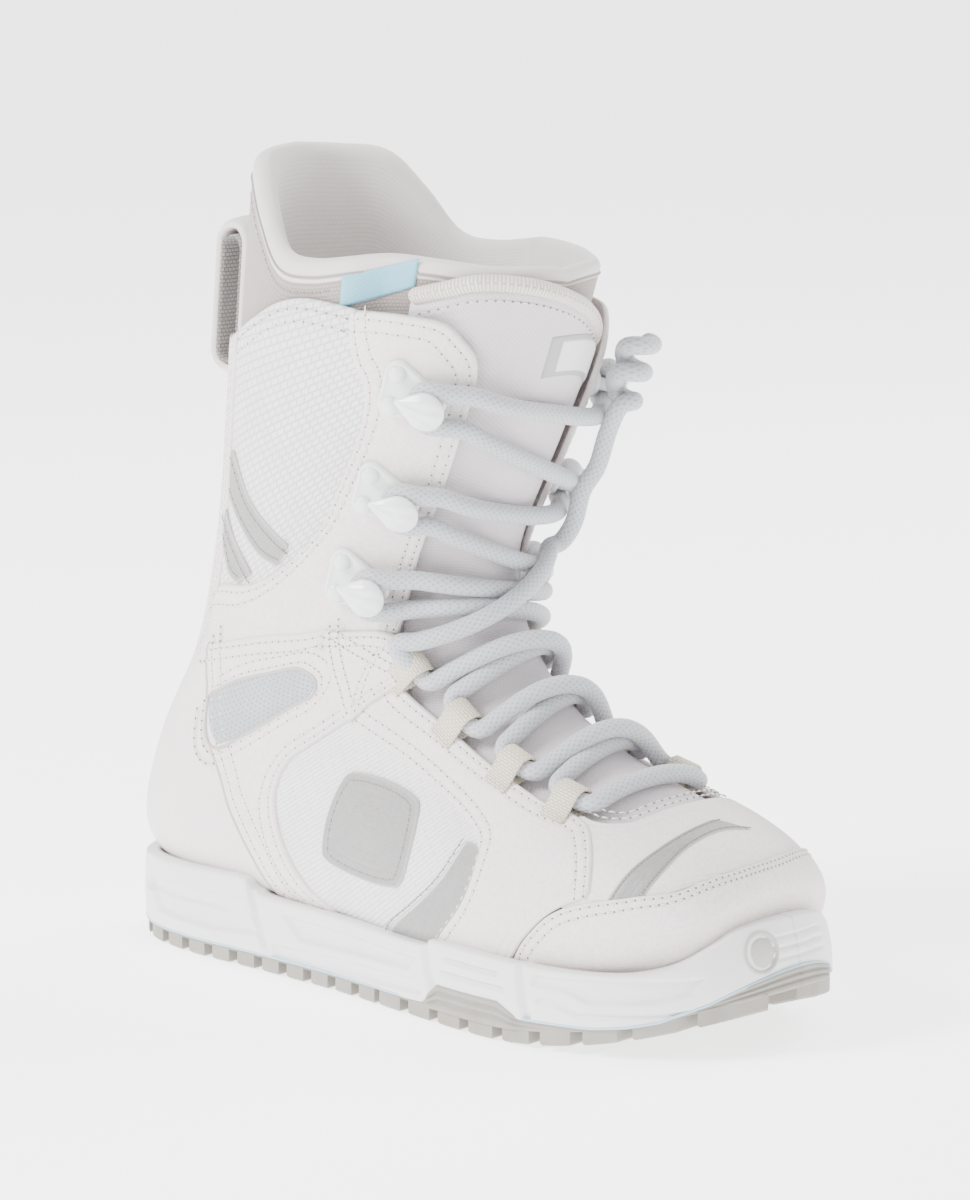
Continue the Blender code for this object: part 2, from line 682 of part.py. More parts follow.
def build_tongue_binding():
    """Ribbed binding along the top of the tongue."""
    a = np.linspace(-0.34, 0.34, 11)
    share = np.linspace(0, 1, 3)[:, None]
    v = (tongue_top(a) - BINDING)[None] * (1 - share) + tongue_top(a)[None] * share
    return shell("tongue_binding", v, np.repeat(a[None], 3, axis=0), TONGUE_FACE, TONGUE, CREAM_WEBBING)


def build_cuff(name, side):
    """Side of the cuff: flex gap, facing edge with the hooks, top edge, back seam."""
    front = sew_line(CUFF_FRONT_EDGE, 60)
    front = front[front[:, 0] > cuff_split(front[:, 1])]
    front[0, 0] = cuff_split(front[0, 1])[0]
    front = by_length(front, 13, EVEN)
    top = sew_line(CUFF_TOP_EDGE, 13)
    places = np.linspace(front[0, 1], -0.995, 13)
    bottom = np.stack([cuff_split(places), places], -1)
    back = np.linspace(bottom[-1], top[-1], 13)
    v, a = filled(bottom, top, front, back)
    return shell(name, v, a * side, 0.0, SHELL, WHITE_LEATHER)


def build_backstay():
    """Strip sewn over the back seam of the cuff."""
    a = np.linspace(0.93, 1.07, 5)
    v = np.repeat(np.linspace(12.4, 14.3, 7)[:, None], 5, axis=1)
    return shell("backstay", v, np.repeat(a[None], 7, axis=0), GAP + BACKSTAY, BACKSTAY, WHITE_LEATHER)


def build_label(name, section, height, place, width, face, kind):
    """Blank sewn label lying on another layer."""
    a = np.linspace(place - width / 2, place + width / 2, 6)
    v = np.repeat(np.linspace(section, section + height, 4)[:, None], 6, axis=1)
    return shell(name, v, np.repeat(a[None], 4, axis=0), face + GAP + LABEL, LABEL, kind)


def loop_place(section, side):
    """Place of the eye of a lace loop: just clear of the facing edge."""
    edge = np.array(FACING_EDGE)
    place = np.interp(section, edge[:, 0], edge[:, 1])
    reach = LACE_RADIUS + LACE_CLEARANCE + WEBBING + LAYER_GAP + GAP
    return side * -(place + reach / rates(section, place)[1])


def eye_height():
    """Height of the middle of a loop's eye over the face of the upper."""
    return TAB_FACE + LACE_CLEARANCE + LACE_RADIUS


def build_loop(name, section, side):
    """Webbing loop: a tab sewn under the facing and an eye round the lace."""
    place = loop_place(section, side)
    centre = Vector(form(section, place, eye_height()))
    up = Vector(form_normal(section, place))
    along = Vector(form(section + 0.05, place) - form(section - 0.05, place)).normalized()
    along = (along - up * along.dot(up)).normalized()
    outward = up.cross(along) * side
    if (Vector(form(section, side * 0.3)) - centre).dot(outward) < 0:
        outward = -outward
    inner = LACE_RADIUS + LACE_CLEARANCE
    outer = inner + WEBBING
    start = math.asin(-inner / outer)
    ring = [(math.cos(t) * outer, math.sin(t) * outer) for t in np.linspace(start, 1.5 * math.pi, 15)]
    reach = np.linspace(abs(place) + 0.035, abs(place) + 0.06, 3)
    low = [Vector(form(section, side * r, TAB_FACE - WEBBING)) - centre for r in reach]
    high = [Vector(form(section, side * r, TAB_FACE)) - centre for r in reach]
    tab = [(p.dot(outward), p.dot(up)) for p in low] + [(p.dot(outward), p.dot(up)) for p in high[::-1]]
    outline = bpy.data.curves.new(name, 'CURVE')
    outline.dimensions = '2D'
    outline.fill_mode = 'BOTH'
    outline.extrude = LOOP_WIDTH / 2
    hole = [(math.cos(t) * inner, math.sin(t) * inner) for t in np.linspace(0, 2 * math.pi, 13)[:-1]]
    for points in (ring + tab, hole):
        spline = outline.splines.new('POLY')
        spline.points.add(len(points) - 1)
        for point, (x, y) in zip(spline.points, points):
            point.co = (x, y, 0, 1)
        spline.use_cyclic_u = True
    made = applied(name, add_object(name + "_outline", outline), CREAM_WEBBING)
    turn = Matrix((outward, up, outward.cross(up))).transposed().to_4x4()
    return placed(made, Matrix.Translation(centre) @ turn)


def hook_frame(index, side):
    """Placing of a hook: rivets at x = 0, the hood towards the tongue, z out of the cuff."""
    (rivet_v, rivet_a), (hood_v, hood_a) = HOOKS[index]
    normal = form_normal((rivet_v + hood_v) / 2, side * (rivet_a + hood_a) / 2)
    place = frame_of(form(rivet_v, side * rivet_a), form(hood_v, side * hood_a), normal)
    v, a = np.meshgrid(np.linspace(hood_v - 0.6, rivet_v + 0.6, 25), np.linspace(hood_a - 0.05, rivet_a + 0.05, 25))
    near = [place.inverted() @ Vector(p) for p in form(v, a * side).reshape(-1, 3)]
    under = [p.z for p in near if -0.005 < p.x < 0.020 and abs(p.y) < 0.011 - 0.3 * max(p.x, 0)]
    return place @ Matrix.Translation((0, 0, max(under) + GAP))


def hull(circles):
    """Outline round a few circles (x, y, radius)."""
    points = [Vector((x + r * math.cos(t), y + r * math.sin(t)))
              for x, y, r in circles for t in np.linspace(0, 2 * math.pi, 16, endpoint=False)]
    return np.array([tuple(points[i]) for i in convex_hull_2d(points)])


NECK_X = RIVET_HEAD + 2 * LACE_RADIUS + 0.0030
BEND = NECK_WIDTH / 2 + LACE_CLEARANCE + LACE_RADIUS
HOOD_LEVEL = PLATE + 2 * LACE_RADIUS + 2 * LACE_CLEARANCE
LACE_LEVEL = PLATE + LACE_CLEARANCE + LACE_RADIUS


def build_hook(name, place):
    """Lace hook: riveted plate, neck and the hood over the lace."""
    half = RIVET_SPACING / 2
    tip = NECK_X + NECK_LENGTH / 2
    plate = hull([(0, half, 0.0048), (0, -half, 0.0048), (tip, 0, 0.0042)])
    made = prism(name, plate, 2, 0.0, PLATE, CLEAR_WHITE)
    for number, y in enumerate((-half, half)):
        hole = disc(name + f"_hole_{number}", RIVET_RADIUS + RIVET_CLEARANCE, -0.002, PLATE + 0.002, 16)
        hole.data.transform(Matrix.Translation((0, y, 0)))
        cut(made, hole)
    box = np.array([(0, -1), (1, -1), (1, 1), (0, 1)]) * (NECK_LENGTH, NECK_WIDTH / 2) + (NECK_X, 0)
    neck = prism(name + "_neck", box, 2, PLATE * 0.5, HOOD_LEVEL + HOOD * 0.5)
    cut(made, neck, 'UNION')
    cover = hull([(NECK_X - 0.0035, 0, 0.0066), (NECK_X + NECK_LENGTH + 0.001, 0, 0.0030)])
    hood = prism(name + "_hood", cover, 2, HOOD_LEVEL, HOOD_LEVEL + HOOD)
    cut(made, hood, 'UNION')
    finished = applied(name, made, CLEAR_WHITE)
    return placed(finished, place)


def build_rivet(name, place, y, depth):
    """Rivet: domed head on the plate, shank, and the spread end behind the cuff."""
    tail = depth + SHELL + 2 * GAP
    profile = [(0, PLATE + GAP + 0.0016), (0.0018, PLATE + GAP + 0.0013), (RIVET_HEAD, PLATE + GAP + 0.0004),
               (RIVET_HEAD, PLATE + GAP), (RIVET_RADIUS, PLATE + GAP), (RIVET_RADIUS, -tail),
               (RIVET_RADIUS * 1.5, -tail), (RIVET_RADIUS * 1.5, -tail - 0.0005), (0, -tail - 0.0005)]
    data = bpy.data.meshes.new(name + "_profile")
    data.from_pydata([(r, 0, z) for r, z in profile], [(i, i + 1) for i in range(len(profile) - 1)], [])
    turned = add_object(name + "_profile", data)
    step = turned.modifiers.new("turn", 'SCREW')
    step.steps = 12
    step.render_steps = 12
    step.use_merge_vertices = True
    step.merge_threshold = 0.00001
    made = applied(name, turned, CLEAR_WHITE)
    return placed(made, place @ Matrix.Translation((0, y, 0)))


def drop_at(place, section, a, y):
    """How far the upper lies under the plate at a rivet."""
    v = np.linspace(section - 0.8, section + 0.8, 81)
    near = form(v, np.full_like(v, a))
    local = [place.inverted() @ Vector(p) for p in near]
    return -min(local, key=lambda p: abs(p.y - y)).z


def build_hooks(side_name, side, cuff):
    """Three hooks of one side with their rivets, and the rivet holes in the cuff."""
    made = []
    for index in range(3):
        place = hook_frame(index, side)
        made.append(build_hook(f"hook_{side_name}_{index + 1}", place))
        (section, a), _ = HOOKS[index]
        for end, y in (("lower", -RIVET_SPACING / 2), ("upper", RIVET_SPACING / 2)):
            depth = drop_at(place, section, side * a, y)
            made.append(build_rivet(f"rivet_{side_name}_{index + 1}_{end}", place, y, depth))
            hole = disc(f"rivet_hole_{side_name}_{index + 1}_{end}", RIVET_RADIUS + RIVET_CLEARANCE,
                        -0.010, 0.004, 16)
            cut(cuff, placed(hole, place @ Matrix.Translation((0, y, 0))))
    return made


def tube(name, points, radius, kind):
    """Round cord along a line of points."""
    line = bpy.data.curves.new(name, 'CURVE')
    line.dimensions = '3D'
    line.bevel_depth = radius
    line.bevel_resolution = 2
    line.use_fill_caps = True
    spline = line.splines.new('POLY')
    spline.points.add(len(points) - 1)
    for point, place in zip(spline.points, points):
        point.co = (*place, 1)
    return applied(name, add_object(name + "_line", line), kind)


STRAND_LOW = TONGUE_FACE + LACE_RADIUS + GAP
STRAND_HIGH = STRAND_LOW + 2 * LACE_RADIUS + GAP


def strand(start, end, ends_out, over, count=11):
    """Lace across the tongue between two (section, place) pairs, over or under its neighbour."""
    t = np.linspace(0, 1, count)
    middle = np.clip(1 - np.abs(2 * t - 1), 0, 1)
    bump = np.sin(middle * math.pi / 2) ** 2
    out = ends_out + ((STRAND_HIGH if over else STRAND_LOW) - ends_out) * bump
    v = start[0] + (end[0] - start[0]) * t
    a = start[1] + (end[1] - start[1]) * t
    return list(form(v, a, out))


def eye_run(index, side, upwards):
    """Lace through the eye of a loop, as three points along it."""
    section = LOOP_SECTIONS[index]
    place = loop_place(section, side)
    half = (LOOP_WIDTH / 2 + 0.0012) / rates(section, place)[0]
    run = [section - half, section, section + half]
    points = [form(v, place, eye_height()) for v in (run if upwards else run[::-1])]
    return points


def mouth(index, side, step):
    """Where the lace leaves a loop, just past its edge and already turned to the tongue."""
    section = LOOP_SECTIONS[index]
    place = loop_place(section, side)
    up, round_it = rates(section, place)
    return (section + step * (LOOP_WIDTH / 2 + 0.0042) / up, place - side * 0.0022 / round_it)


def build_lace_lower():
    """Lace of the foot: across the bottom pair of loops and crossing up to the top pair."""
    half = []
    for index in range(3):
        side = -1 if index % 2 == 0 else 1
        half += eye_run(index, side, True)
        half += strand(mouth(index, side, 1), mouth(index + 1, -side, -1), eye_height(), side > 0)
    half += eye_run(3, 1, True)
    other = []
    for index in range(3):
        side = 1 if index % 2 == 0 else -1
        other += eye_run(index, side, True)
        other += strand(mouth(index, side, 1), mouth(index + 1, -side, -1), eye_height(), side > 0)
    other += eye_run(3, -1, True)
    bar = strand(mouth(0, -1, -1), mouth(0, 1, -1), eye_height(), False)
    return tube("lace_lower", half[::-1] + bar + other, LACE_RADIUS, LACE_CORD)


def round_hook(place, upwards):
    """Lace round the back of a hook's neck."""
    x = NECK_X - LACE_CLEARANCE - LACE_RADIUS
    turn = [(NECK_X + 0.0040, -BEND), (NECK_X + 0.0005, -BEND), (x + 0.0012, -BEND * 0.72), (x, 0.0),
            (x + 0.0012, BEND * 0.72), (NECK_X + 0.0005, BEND), (NECK_X + 0.0040, BEND)]
    if not upwards:
        turn = turn[::-1]
    return [np.array(place @ Vector((px, py, LACE_LEVEL))) for px, py in turn]


def leave(index, side, step):
    """Section and place a little past where the lace leaves a hook."""
    (rivet_v, rivet_a), (hood_v, hood_a) = HOOKS[index]
    up = rates(hood_v, side * hood_a)[0]
    return (hood_v - 0.08 + step * BEND / up, side * 0.155)


def build_lace_upper(name, side):
    """Lace of the cuff from one bottom hook, crossing between the sides to a top hook and its end."""
    first = hook_frame(0, side)
    points = round_hook(first, True)
    points = points[1:]
    for index in (0, 1):
        here = side if index == 0 else -side
        there = -here
        start, end = leave(index, here, 1), leave(index + 1, there, -1)
        points += strand(start, end, 0.0048, here > 0, 9)
        points += round_hook(hook_frame(index + 1, there), True)
    start = leave(2, side, 1)
    last = (start[0] + 0.15, side * (0.07 if side < 0 else 0.135))
    t = np.linspace(0, 1, 5)
    v = start[0] + (last[0] - start[0]) * t
    a = start[1] + (last[1] - start[1]) * t
    low = STRAND_LOW if side < 0 else 0.0044
    points += list(form(v, a, 0.0048 + (low - 0.0048) * t))
    return tube(name, points, LACE_RADIUS, LACE_CORD)


PULL_AXIS = (38.5, 217)


def build_pull_loop():
    """Webbing loop at the back of the cuff for pulling the boot on, swinging on its stitch line."""
    axis = np.array(PULL_AXIS) * SCALE[[0, 2]]
    width, height, thickness = 0.012, 0.044, 0.0022
    lean = math.radians(5)
    ends = []
    for inset in (0.0, thickness):
        r = width / 2 - inset
        top = [(math.cos(t) * r, height - width / 2 + math.sin(t) * r) for t in np.linspace(0, math.pi, 9)]
        low = [(math.cos(t) * r, math.sin(t) * r) for t in np.linspace(math.pi, 2 * math.pi, 9)]
        ends.append(np.array(top + low))
    outline = bpy.data.curves.new("heel_pull_loop", 'CURVE')
    outline.dimensions = '2D'
    outline.fill_mode = 'BOTH'
    outline.extrude = 0.012
    for points in ends:
        spline = outline.splines.new('POLY')
        spline.points.add(len(points) - 1)
        for point, (x, y) in zip(spline.points, points):
            point.co = (x, y, 0, 1)
        spline.use_cyclic_u = True
    made = applied("heel_pull_loop", add_object("heel_pull_loop_outline", outline), GREY_WEBBING)
    stand = Matrix.Translation((axis[0], 0, axis[1])) @ Matrix.Rotation(lean, 4, 'Y')
    return placed(made, stand @ Matrix.Rotation(math.radians(90), 4, 'X'))


def build_foot():
    """Every piece that stays with the sole."""
    midsole = build_midsole()
    made = [midsole, build_badge(midsole)]
    made.append(build_outsole("outsole_heel", 6, 147, HEEL_LUGS, HEEL_LUG))
    made.append(build_outsole("outsole_forefoot", 150, 291, FOREFOOT_LUGS, FOREFOOT_LUG))
    made += [build_toe_cap(), build_vamp(), build_heel_counter()]
    made += [build_quarter("quarter_lateral", 1), build_quarter("quarter_medial", -1)]
    made.append(build_inner_sole("insole_board", 0.18, 1.6, 8.9, UNDER_SHELL, BOARD, BOARD_FIBRE))
    made.append(build_liner_foot())
    made.append(build_inner_sole("footbed", 0.155, 2.3, 8.6, FOOTBED_FACE, FOOTBED, BRUSHED_FABRIC))
    made.append(build_tongue_lower())
    for number, section in enumerate(LOOP_SECTIONS, 1):
        made.append(build_loop(f"lace_loop_lateral_{number}", section, -1))
        made.append(build_loop(f"lace_loop_medial_{number}", section, 1))
    made.append(build_lace_lower())
    return made


def build_cuff_body():
    """Every piece that leans with the shaft."""
    lateral = build_cuff("cuff_lateral", 1)
    medial = build_cuff("cuff_medial", -1)
    made = [lateral, medial, build_backstay(), build_tongue_upper(), build_tongue_binding()]
    made += [build_liner_cuff(), build_liner_collar()]
    made += build_hooks("lateral", -1, lateral) + build_hooks("medial", 1, medial)
    made += [build_lace_upper("lace_upper_a", -1), build_lace_upper("lace_upper_b", 1)]
    made.append(build_label("tongue_label", 13.1, 0.36, 0.045, 0.11, TONGUE_FACE, GREY_WEBBING))
    return made


def main():
    """Builds the boot and stands it on the origin."""
    for old in list(bpy.data.objects):
        bpy.data.objects.remove(old)
    foot = build_foot()
    cuff = build_cuff_body()
    pull = [build_pull_loop()]
    bpy.context.view_layer.update()
    graph = bpy.context.evaluated_depsgraph_get()
    corners = []
    for made in foot + cuff + pull:
        corners += [Vector(c) for c in made.evaluated_get(graph).bound_box]
    low = [min(c[k] for c in corners) for k in range(3)]
    high = [max(c[k] for c in corners) for k in range(3)]
    shift = Vector((-(low[0] + high[0]) / 2, -(low[1] + high[1]) / 2, -low[2]))
    print("box", low, high, "shift", tuple(shift))
    ankle = Vector((ANKLE[0] * SCALE[0], 0, ANKLE[1] * SCALE[2]))
    pull_axis = Vector((PULL_AXIS[0] * SCALE[0], 0, PULL_AXIS[1] * SCALE[2]))
    print("ankle", tuple(ankle + shift), "pull", tuple(pull_axis + shift))
    for group, axis in ((foot, Vector()), (cuff, ankle), (pull, pull_axis)):
        for made in group:
            made.data.transform(Matrix.Translation(-axis))
            made.location = axis + shift
    for cutter in bpy.data.collections["cutters"].objects:
        cutter.data.transform(Matrix.Translation(Vector()))
        cutter.location = cutter.location + shift


main()
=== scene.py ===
"""Visual model of a right snowboard boot, in the order in which the boot is put together."""
import json
import math

import bpy
import numpy as np
from mathutils import Matrix, Vector
from mathutils.geometry import convex_hull_2d, delaunay_2d_cdt


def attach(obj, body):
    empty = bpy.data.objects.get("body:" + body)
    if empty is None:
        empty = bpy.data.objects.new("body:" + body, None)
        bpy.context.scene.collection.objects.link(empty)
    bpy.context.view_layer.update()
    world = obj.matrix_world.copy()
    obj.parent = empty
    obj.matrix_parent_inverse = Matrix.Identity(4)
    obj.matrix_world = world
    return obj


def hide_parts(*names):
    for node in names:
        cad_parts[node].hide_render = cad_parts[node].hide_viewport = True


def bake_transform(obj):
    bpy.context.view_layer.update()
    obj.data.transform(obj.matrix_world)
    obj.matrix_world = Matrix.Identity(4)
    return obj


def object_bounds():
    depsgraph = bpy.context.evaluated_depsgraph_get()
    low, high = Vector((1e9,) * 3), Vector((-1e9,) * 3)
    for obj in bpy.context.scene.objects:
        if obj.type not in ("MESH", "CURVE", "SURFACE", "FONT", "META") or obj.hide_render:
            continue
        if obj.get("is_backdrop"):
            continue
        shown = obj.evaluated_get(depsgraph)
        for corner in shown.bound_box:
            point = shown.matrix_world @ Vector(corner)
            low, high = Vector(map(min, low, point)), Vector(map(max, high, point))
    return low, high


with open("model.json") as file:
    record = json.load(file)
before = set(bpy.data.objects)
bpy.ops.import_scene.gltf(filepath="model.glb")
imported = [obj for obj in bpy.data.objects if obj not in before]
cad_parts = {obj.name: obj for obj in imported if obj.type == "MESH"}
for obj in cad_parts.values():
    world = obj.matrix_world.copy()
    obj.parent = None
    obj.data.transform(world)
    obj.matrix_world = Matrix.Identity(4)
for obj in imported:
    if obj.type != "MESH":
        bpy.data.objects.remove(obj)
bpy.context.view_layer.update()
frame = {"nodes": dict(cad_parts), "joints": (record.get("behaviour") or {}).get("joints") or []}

# ---------------------------------------------------------------- camera
# A long lens a little above the toe, looking at the lateral side from the front.
HINGE = np.array(next(j for j in frame["joints"] if j["name"] == "cuff_flex")["pos_m"])
HERE = HINGE - (0.072, 0.0, 0.112)
LOOK_AT = HERE + (0.140, 0.0, 0.140)
AZIMUTH = math.radians(43)
ELEVATION = math.radians(9.5)
DISTANCE = 1.7

lens = bpy.data.cameras.new("camera")
lens.lens = 144.84
lens.sensor_width = 36
lens.shift_x = 0.0242
lens.shift_y = -0.010
camera = bpy.data.objects.new("camera", lens)
bpy.context.scene.collection.objects.link(camera)
away = Vector((math.sin(AZIMUTH) * math.cos(ELEVATION), -math.cos(AZIMUTH) * math.cos(ELEVATION),
               math.sin(ELEVATION)))
camera.location = Vector(LOOK_AT) + away * DISTANCE
camera.rotation_mode = 'QUATERNION'
camera.rotation_quaternion = away.to_track_quat('Z', 'Y')
bpy.context.scene.camera = camera


# ---------------------------------------------------------------- floor and studio light
# A plain pale floor that glows faintly, under large soft lamps: one over the left shoulder, a
# wide fill from the right, one from behind and above, and an even pale surround. The base colours
# below are chosen darker than they look, for this strong light.
def linear(text):
    """Linear colour from an sRGB hex."""
    values = [int(text[i:i + 2], 16) / 255 for i in (1, 3, 5)]
    return [v / 12.92 if v <= 0.04045 else ((v + 0.055) / 1.055) ** 2.4 for v in values] + [1.0]


def add(skin, kind, sockets=None, **settings):
    """A node of a material with its settings, and its sockets set or linked."""
    made = skin.node_tree.nodes.new("ShaderNode" + kind)
    for key, value in settings.items():
        setattr(made, key, value)
    for key, value in (sockets or {}).items():
        if isinstance(value, bpy.types.NodeSocket):
            skin.node_tree.links.new(value, made.inputs[key])
        else:
            made.inputs[key].default_value = value
    return made


def new_skin(name, roughness, **surface):
    """An empty material and its surface shader."""
    skin = bpy.data.materials.new(name)
    skin.use_nodes = True
    shader = skin.node_tree.nodes["Principled BSDF"]
    shader.inputs["Roughness"].default_value = roughness
    for key, value in surface.items():
        shader.inputs[key.replace("_", " ")].default_value = value
    return skin, shader


def finished(skin, shader, tint, bump=None):
    """The material with its colour, and its relief if it has one, linked to the surface shader."""
    skin.node_tree.links.new(tint, shader.inputs["Base Color"])
    if bump:
        skin.node_tree.links.new(bump.outputs[0], shader.inputs["Normal"])
    return skin


def noise(skin, place, scale, detail=2.0):
    """Value of an even noise over the object, its scale in cells a metre."""
    return add(skin, "TexNoise", {"Vector": place, "Scale": scale, "Detail": detail}).outputs[0]


def blend(skin, share, first, second):
    """Colour between two, each a hex, a colour or a link."""
    first, second = (linear(c) if isinstance(c, str) else c for c in (first, second))
    return add(skin, "Mix", {0: share, 6: first, 7: second}, data_type='RGBA').outputs[2]


FLOOR_HALF = 30.0
floor_data = bpy.data.meshes.new("floor")
floor_data.from_pydata([(-FLOOR_HALF, -FLOOR_HALF, -0.0004), (FLOOR_HALF, -FLOOR_HALF, -0.0004),
                        (FLOOR_HALF, FLOOR_HALF, -0.0004), (-FLOOR_HALF, FLOOR_HALF, -0.0004)], [], [(0, 1, 2, 3)])
floor = bpy.data.objects.new("floor", floor_data)
bpy.context.scene.collection.objects.link(floor)
paint, shader = new_skin("matt_white_floor_paint", 0.9)
shader.inputs["Base Color"].default_value = linear("#FAFAFA")
shader.inputs["Emission Color"].default_value = linear("#FFFFFF")
shader.inputs["Emission Strength"].default_value = 2.4
floor_data.materials.append(paint)
floor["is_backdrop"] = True


def lamp(name, where, size, power):
    """Soft square lamp aimed at the boot."""
    data = bpy.data.lights.new(name, 'AREA')
    data.shape = 'SQUARE'
    data.size = size
    data.energy = power
    made = bpy.data.objects.new(name, data)
    made.location = Vector(LOOK_AT) + Vector(where)
    made.rotation_mode = 'QUATERNION'
    made.rotation_quaternion = Vector(where).to_track_quat('Z', 'Y')
    bpy.context.scene.collection.objects.link(made)


lamp("key_lamp", (-0.75, -1.5, 1.25), 0.7, 88)
lamp("fill_lamp", (1.9, -0.3, 0.7), 1.4, 9)
lamp("back_lamp", (0.3, 1.6, 1.5), 1.2, 45)
surround = bpy.data.worlds.new("surround")
surround.use_nodes = True
surround.node_tree.nodes["Background"].inputs["Color"].default_value = linear("#FFFFFF")
surround.node_tree.nodes["Background"].inputs["Strength"].default_value = 1.15
bpy.context.scene.world = surround

# ---------------------------------------------------------------- the last
# The foot-and-shaft form that every layer of the upper is drawn on. One row per section, in mm:
# front line x, z; back line x, z; half width lateral, medial; widest; roundness; middle y.
SECTIONS = np.array([
    (280, 42, 279, 34, 6, 6, 0.50, 2.0, 2.0, 6), (281, 55, 272, 28, 30, 31, 0.45, 2.2, 2.6, 6),
    (272, 67, 260, 24, 43, 40, 0.38, 2.3, 4.0, 5), (256, 76, 240, 21, 51, 46, 0.34, 2.2, 5.0, 4),
    (236, 84, 214, 19, 54, 47, 0.33, 2.1, 5.0, 2), (214, 93, 184, 19, 53, 45, 0.32, 2.0, 5.0, 1),
    (193, 105, 150, 20, 49, 42, 0.33, 2.0, 5.0, 0), (177, 121, 112, 22, 45, 40, 0.36, 2.0, 5.0, 0),
    (168, 139, 70, 23, 43, 40, 0.42, 2.0, 4.5, 0), (167, 157, 30, 24, 42, 40, 0.46, 2.0, 4.0, 0),
    (171, 171, 4, 36, 42, 41, 0.48, 2.1, 3.2, 0), (177, 184, 6, 68, 42, 41, 0.50, 2.2, 2.5, 0),
    (184, 201, 24, 104, 45, 43, 0.50, 2.3, 2.2, 0), (193, 224, 36, 146, 49, 47, 0.49, 2.4, 2.1, 0),
    (201, 247, 43, 190, 52, 50, 0.48, 2.4, 2.1, 0), (208, 270, 48, 238, 54, 52, 0.48, 2.4, 2.1, 0),
    (214, 292, 54, 286, 55, 53, 0.48, 2.4, 2.1, 0), (219, 314, 60, 334, 55, 53, 0.48, 2.4, 2.1, 0),
], float)
MM = 0.001
ROWS = 12 * (len(SECTIONS) - 1) + 1
HALF = 100


def smooth_rows(rows, at):
    """Rows of a table read at fractional places, on a smooth curve through the rows."""
    rows = np.asarray(rows, float)
    last = len(rows) - 1
    at = np.clip(np.asarray(at, float), 0, last)
    i = np.minimum(at.astype(int), last - 1)
    f = (at - i)[:, None]
    e = np.vstack([2 * rows[0] - rows[1], rows, 2 * rows[-1] - rows[-2]])
    p0, p1, p2, p3 = e[i], e[i + 1], e[i + 2], e[i + 3]
    return 0.5 * (2 * p1 + (p2 - p0) * f + (2 * p0 - 5 * p1 + 4 * p2 - p3) * f**2
                  + (3 * p1 - p0 - 3 * p2 + p3) * f**3)


def by_length(points, count):
    """A line of points read again at even steps of its length."""
    points = np.asarray(points, float)
    run = np.concatenate([[0], np.cumsum(np.linalg.norm(np.diff(points, axis=0), axis=1))])
    at = np.linspace(0, run[-1], count)
    return np.stack([np.interp(at, run, points[:, k]) for k in range(points.shape[1])], -1)


def half_section(section, side, count=300):
    """One side of a section, from the front line to the back line."""
    fx, fz, bx, bz, lateral, medial, widest, above, below, middle = section
    angle = np.linspace(math.pi / 2, -math.pi / 2, count)
    sine, cosine = np.sin(angle), np.cos(angle)
    power = 2 / np.where(sine >= 0, above, below)
    along = np.sign(sine) * np.abs(sine) ** power
    across = np.abs(cosine) ** power
    k = widest + np.where(sine >= 0, 1 - widest, widest) * along
    width = lateral if side < 0 else medial
    return np.stack([bx + k * (fx - bx), middle + side * width * across, bz + k * (fz - bz)], -1) * MM


LAST = np.empty((ROWS, 2 * HALF + 1, 3))
for i, section in enumerate(smooth_rows(SECTIONS, np.linspace(0, len(SECTIONS) - 1, ROWS))):
    LAST[i, :HALF + 1] = by_length(half_section(section, -1), HALF + 1)[::-1]
    LAST[i, HALF:] = by_length(half_section(section, 1), HALF + 1)
across = np.gradient(LAST, axis=1)
across[:, 0] = across[:, -1] = LAST[:, 1] - LAST[:, -2]
OUTWARD = np.cross(across, np.gradient(LAST, axis=0))
OUTWARD /= np.linalg.norm(OUTWARD, axis=-1, keepdims=True)


def read_last(grid, v, a):
    """A grid of the last read at section v and place a; places past the back line go on round."""
    a = (np.asarray(a, float) + 1) % 2
    x = np.clip(np.asarray(v, float) / (len(SECTIONS) - 1), 0, 1) * (ROWS - 1)
    y = a / 2 * (2 * HALF)
    i = np.minimum(x.astype(int), ROWS - 2)
    j = np.minimum(y.astype(int), 2 * HALF - 1)
    f = (x - i)[..., None]
    g = (y - j)[..., None]
    return ((grid[i, j] * (1 - f) + grid[i + 1, j] * f) * (1 - g)
            + (grid[i, j + 1] * (1 - f) + grid[i + 1, j + 1] * f) * g)


def outward(v, a):
    """Outward normal of the last."""
    normal = read_last(OUTWARD, v, a)
    return normal / np.linalg.norm(normal, axis=-1, keepdims=True)


def form(v, a, out=0.0):
    """Point of the last at section v and place a, moved out by some millimetres."""
    v, a, out = np.broadcast_arrays(np.asarray(v, float), np.asarray(a, float), np.asarray(out, float))
    return read_last(LAST, v, a) + outward(v, a) * out[..., None] * MM + HERE


FLAT = np.array([22.0, 125.0])  # millimetres of leather per section, and per unit of place


def sew_line(points, step=1.6):
    """Smooth line through (section, place) pairs, in even steps of some millimetres."""
    dense = smooth_rows(points, np.linspace(0, len(points) - 1, 24 * len(points))) * FLAT
    length = np.linalg.norm(np.diff(dense, axis=0), axis=1).sum()
    return by_length(dense, max(3, int(length / step))) / FLAT


def beside(line, distance):
    """A line moved sideways by some millimetres, to its left seen from outside the boot."""
    run = np.gradient(np.asarray(line, float) * FLAT, axis=0)
    run /= np.maximum(np.linalg.norm(run, axis=1, keepdims=True), 1e-9)
    return line + np.stack([run[:, 1], -run[:, 0]], -1) * distance / FLAT


def border(*lines):
    """Closed border of a cut piece from several smooth lines, joined at corners."""
    return np.vstack([sew_line(line)[:-1] if len(line) > 2 else np.asarray(line, float) for line in lines])


# Where the upper bends when the cuff leans: below it follows the foot, above it the cuff.
LEAN = np.array((-0.284, 0.0, 0.959))
BELOW_ANKLE, ABOVE_ANKLE = 0.030, 0.035


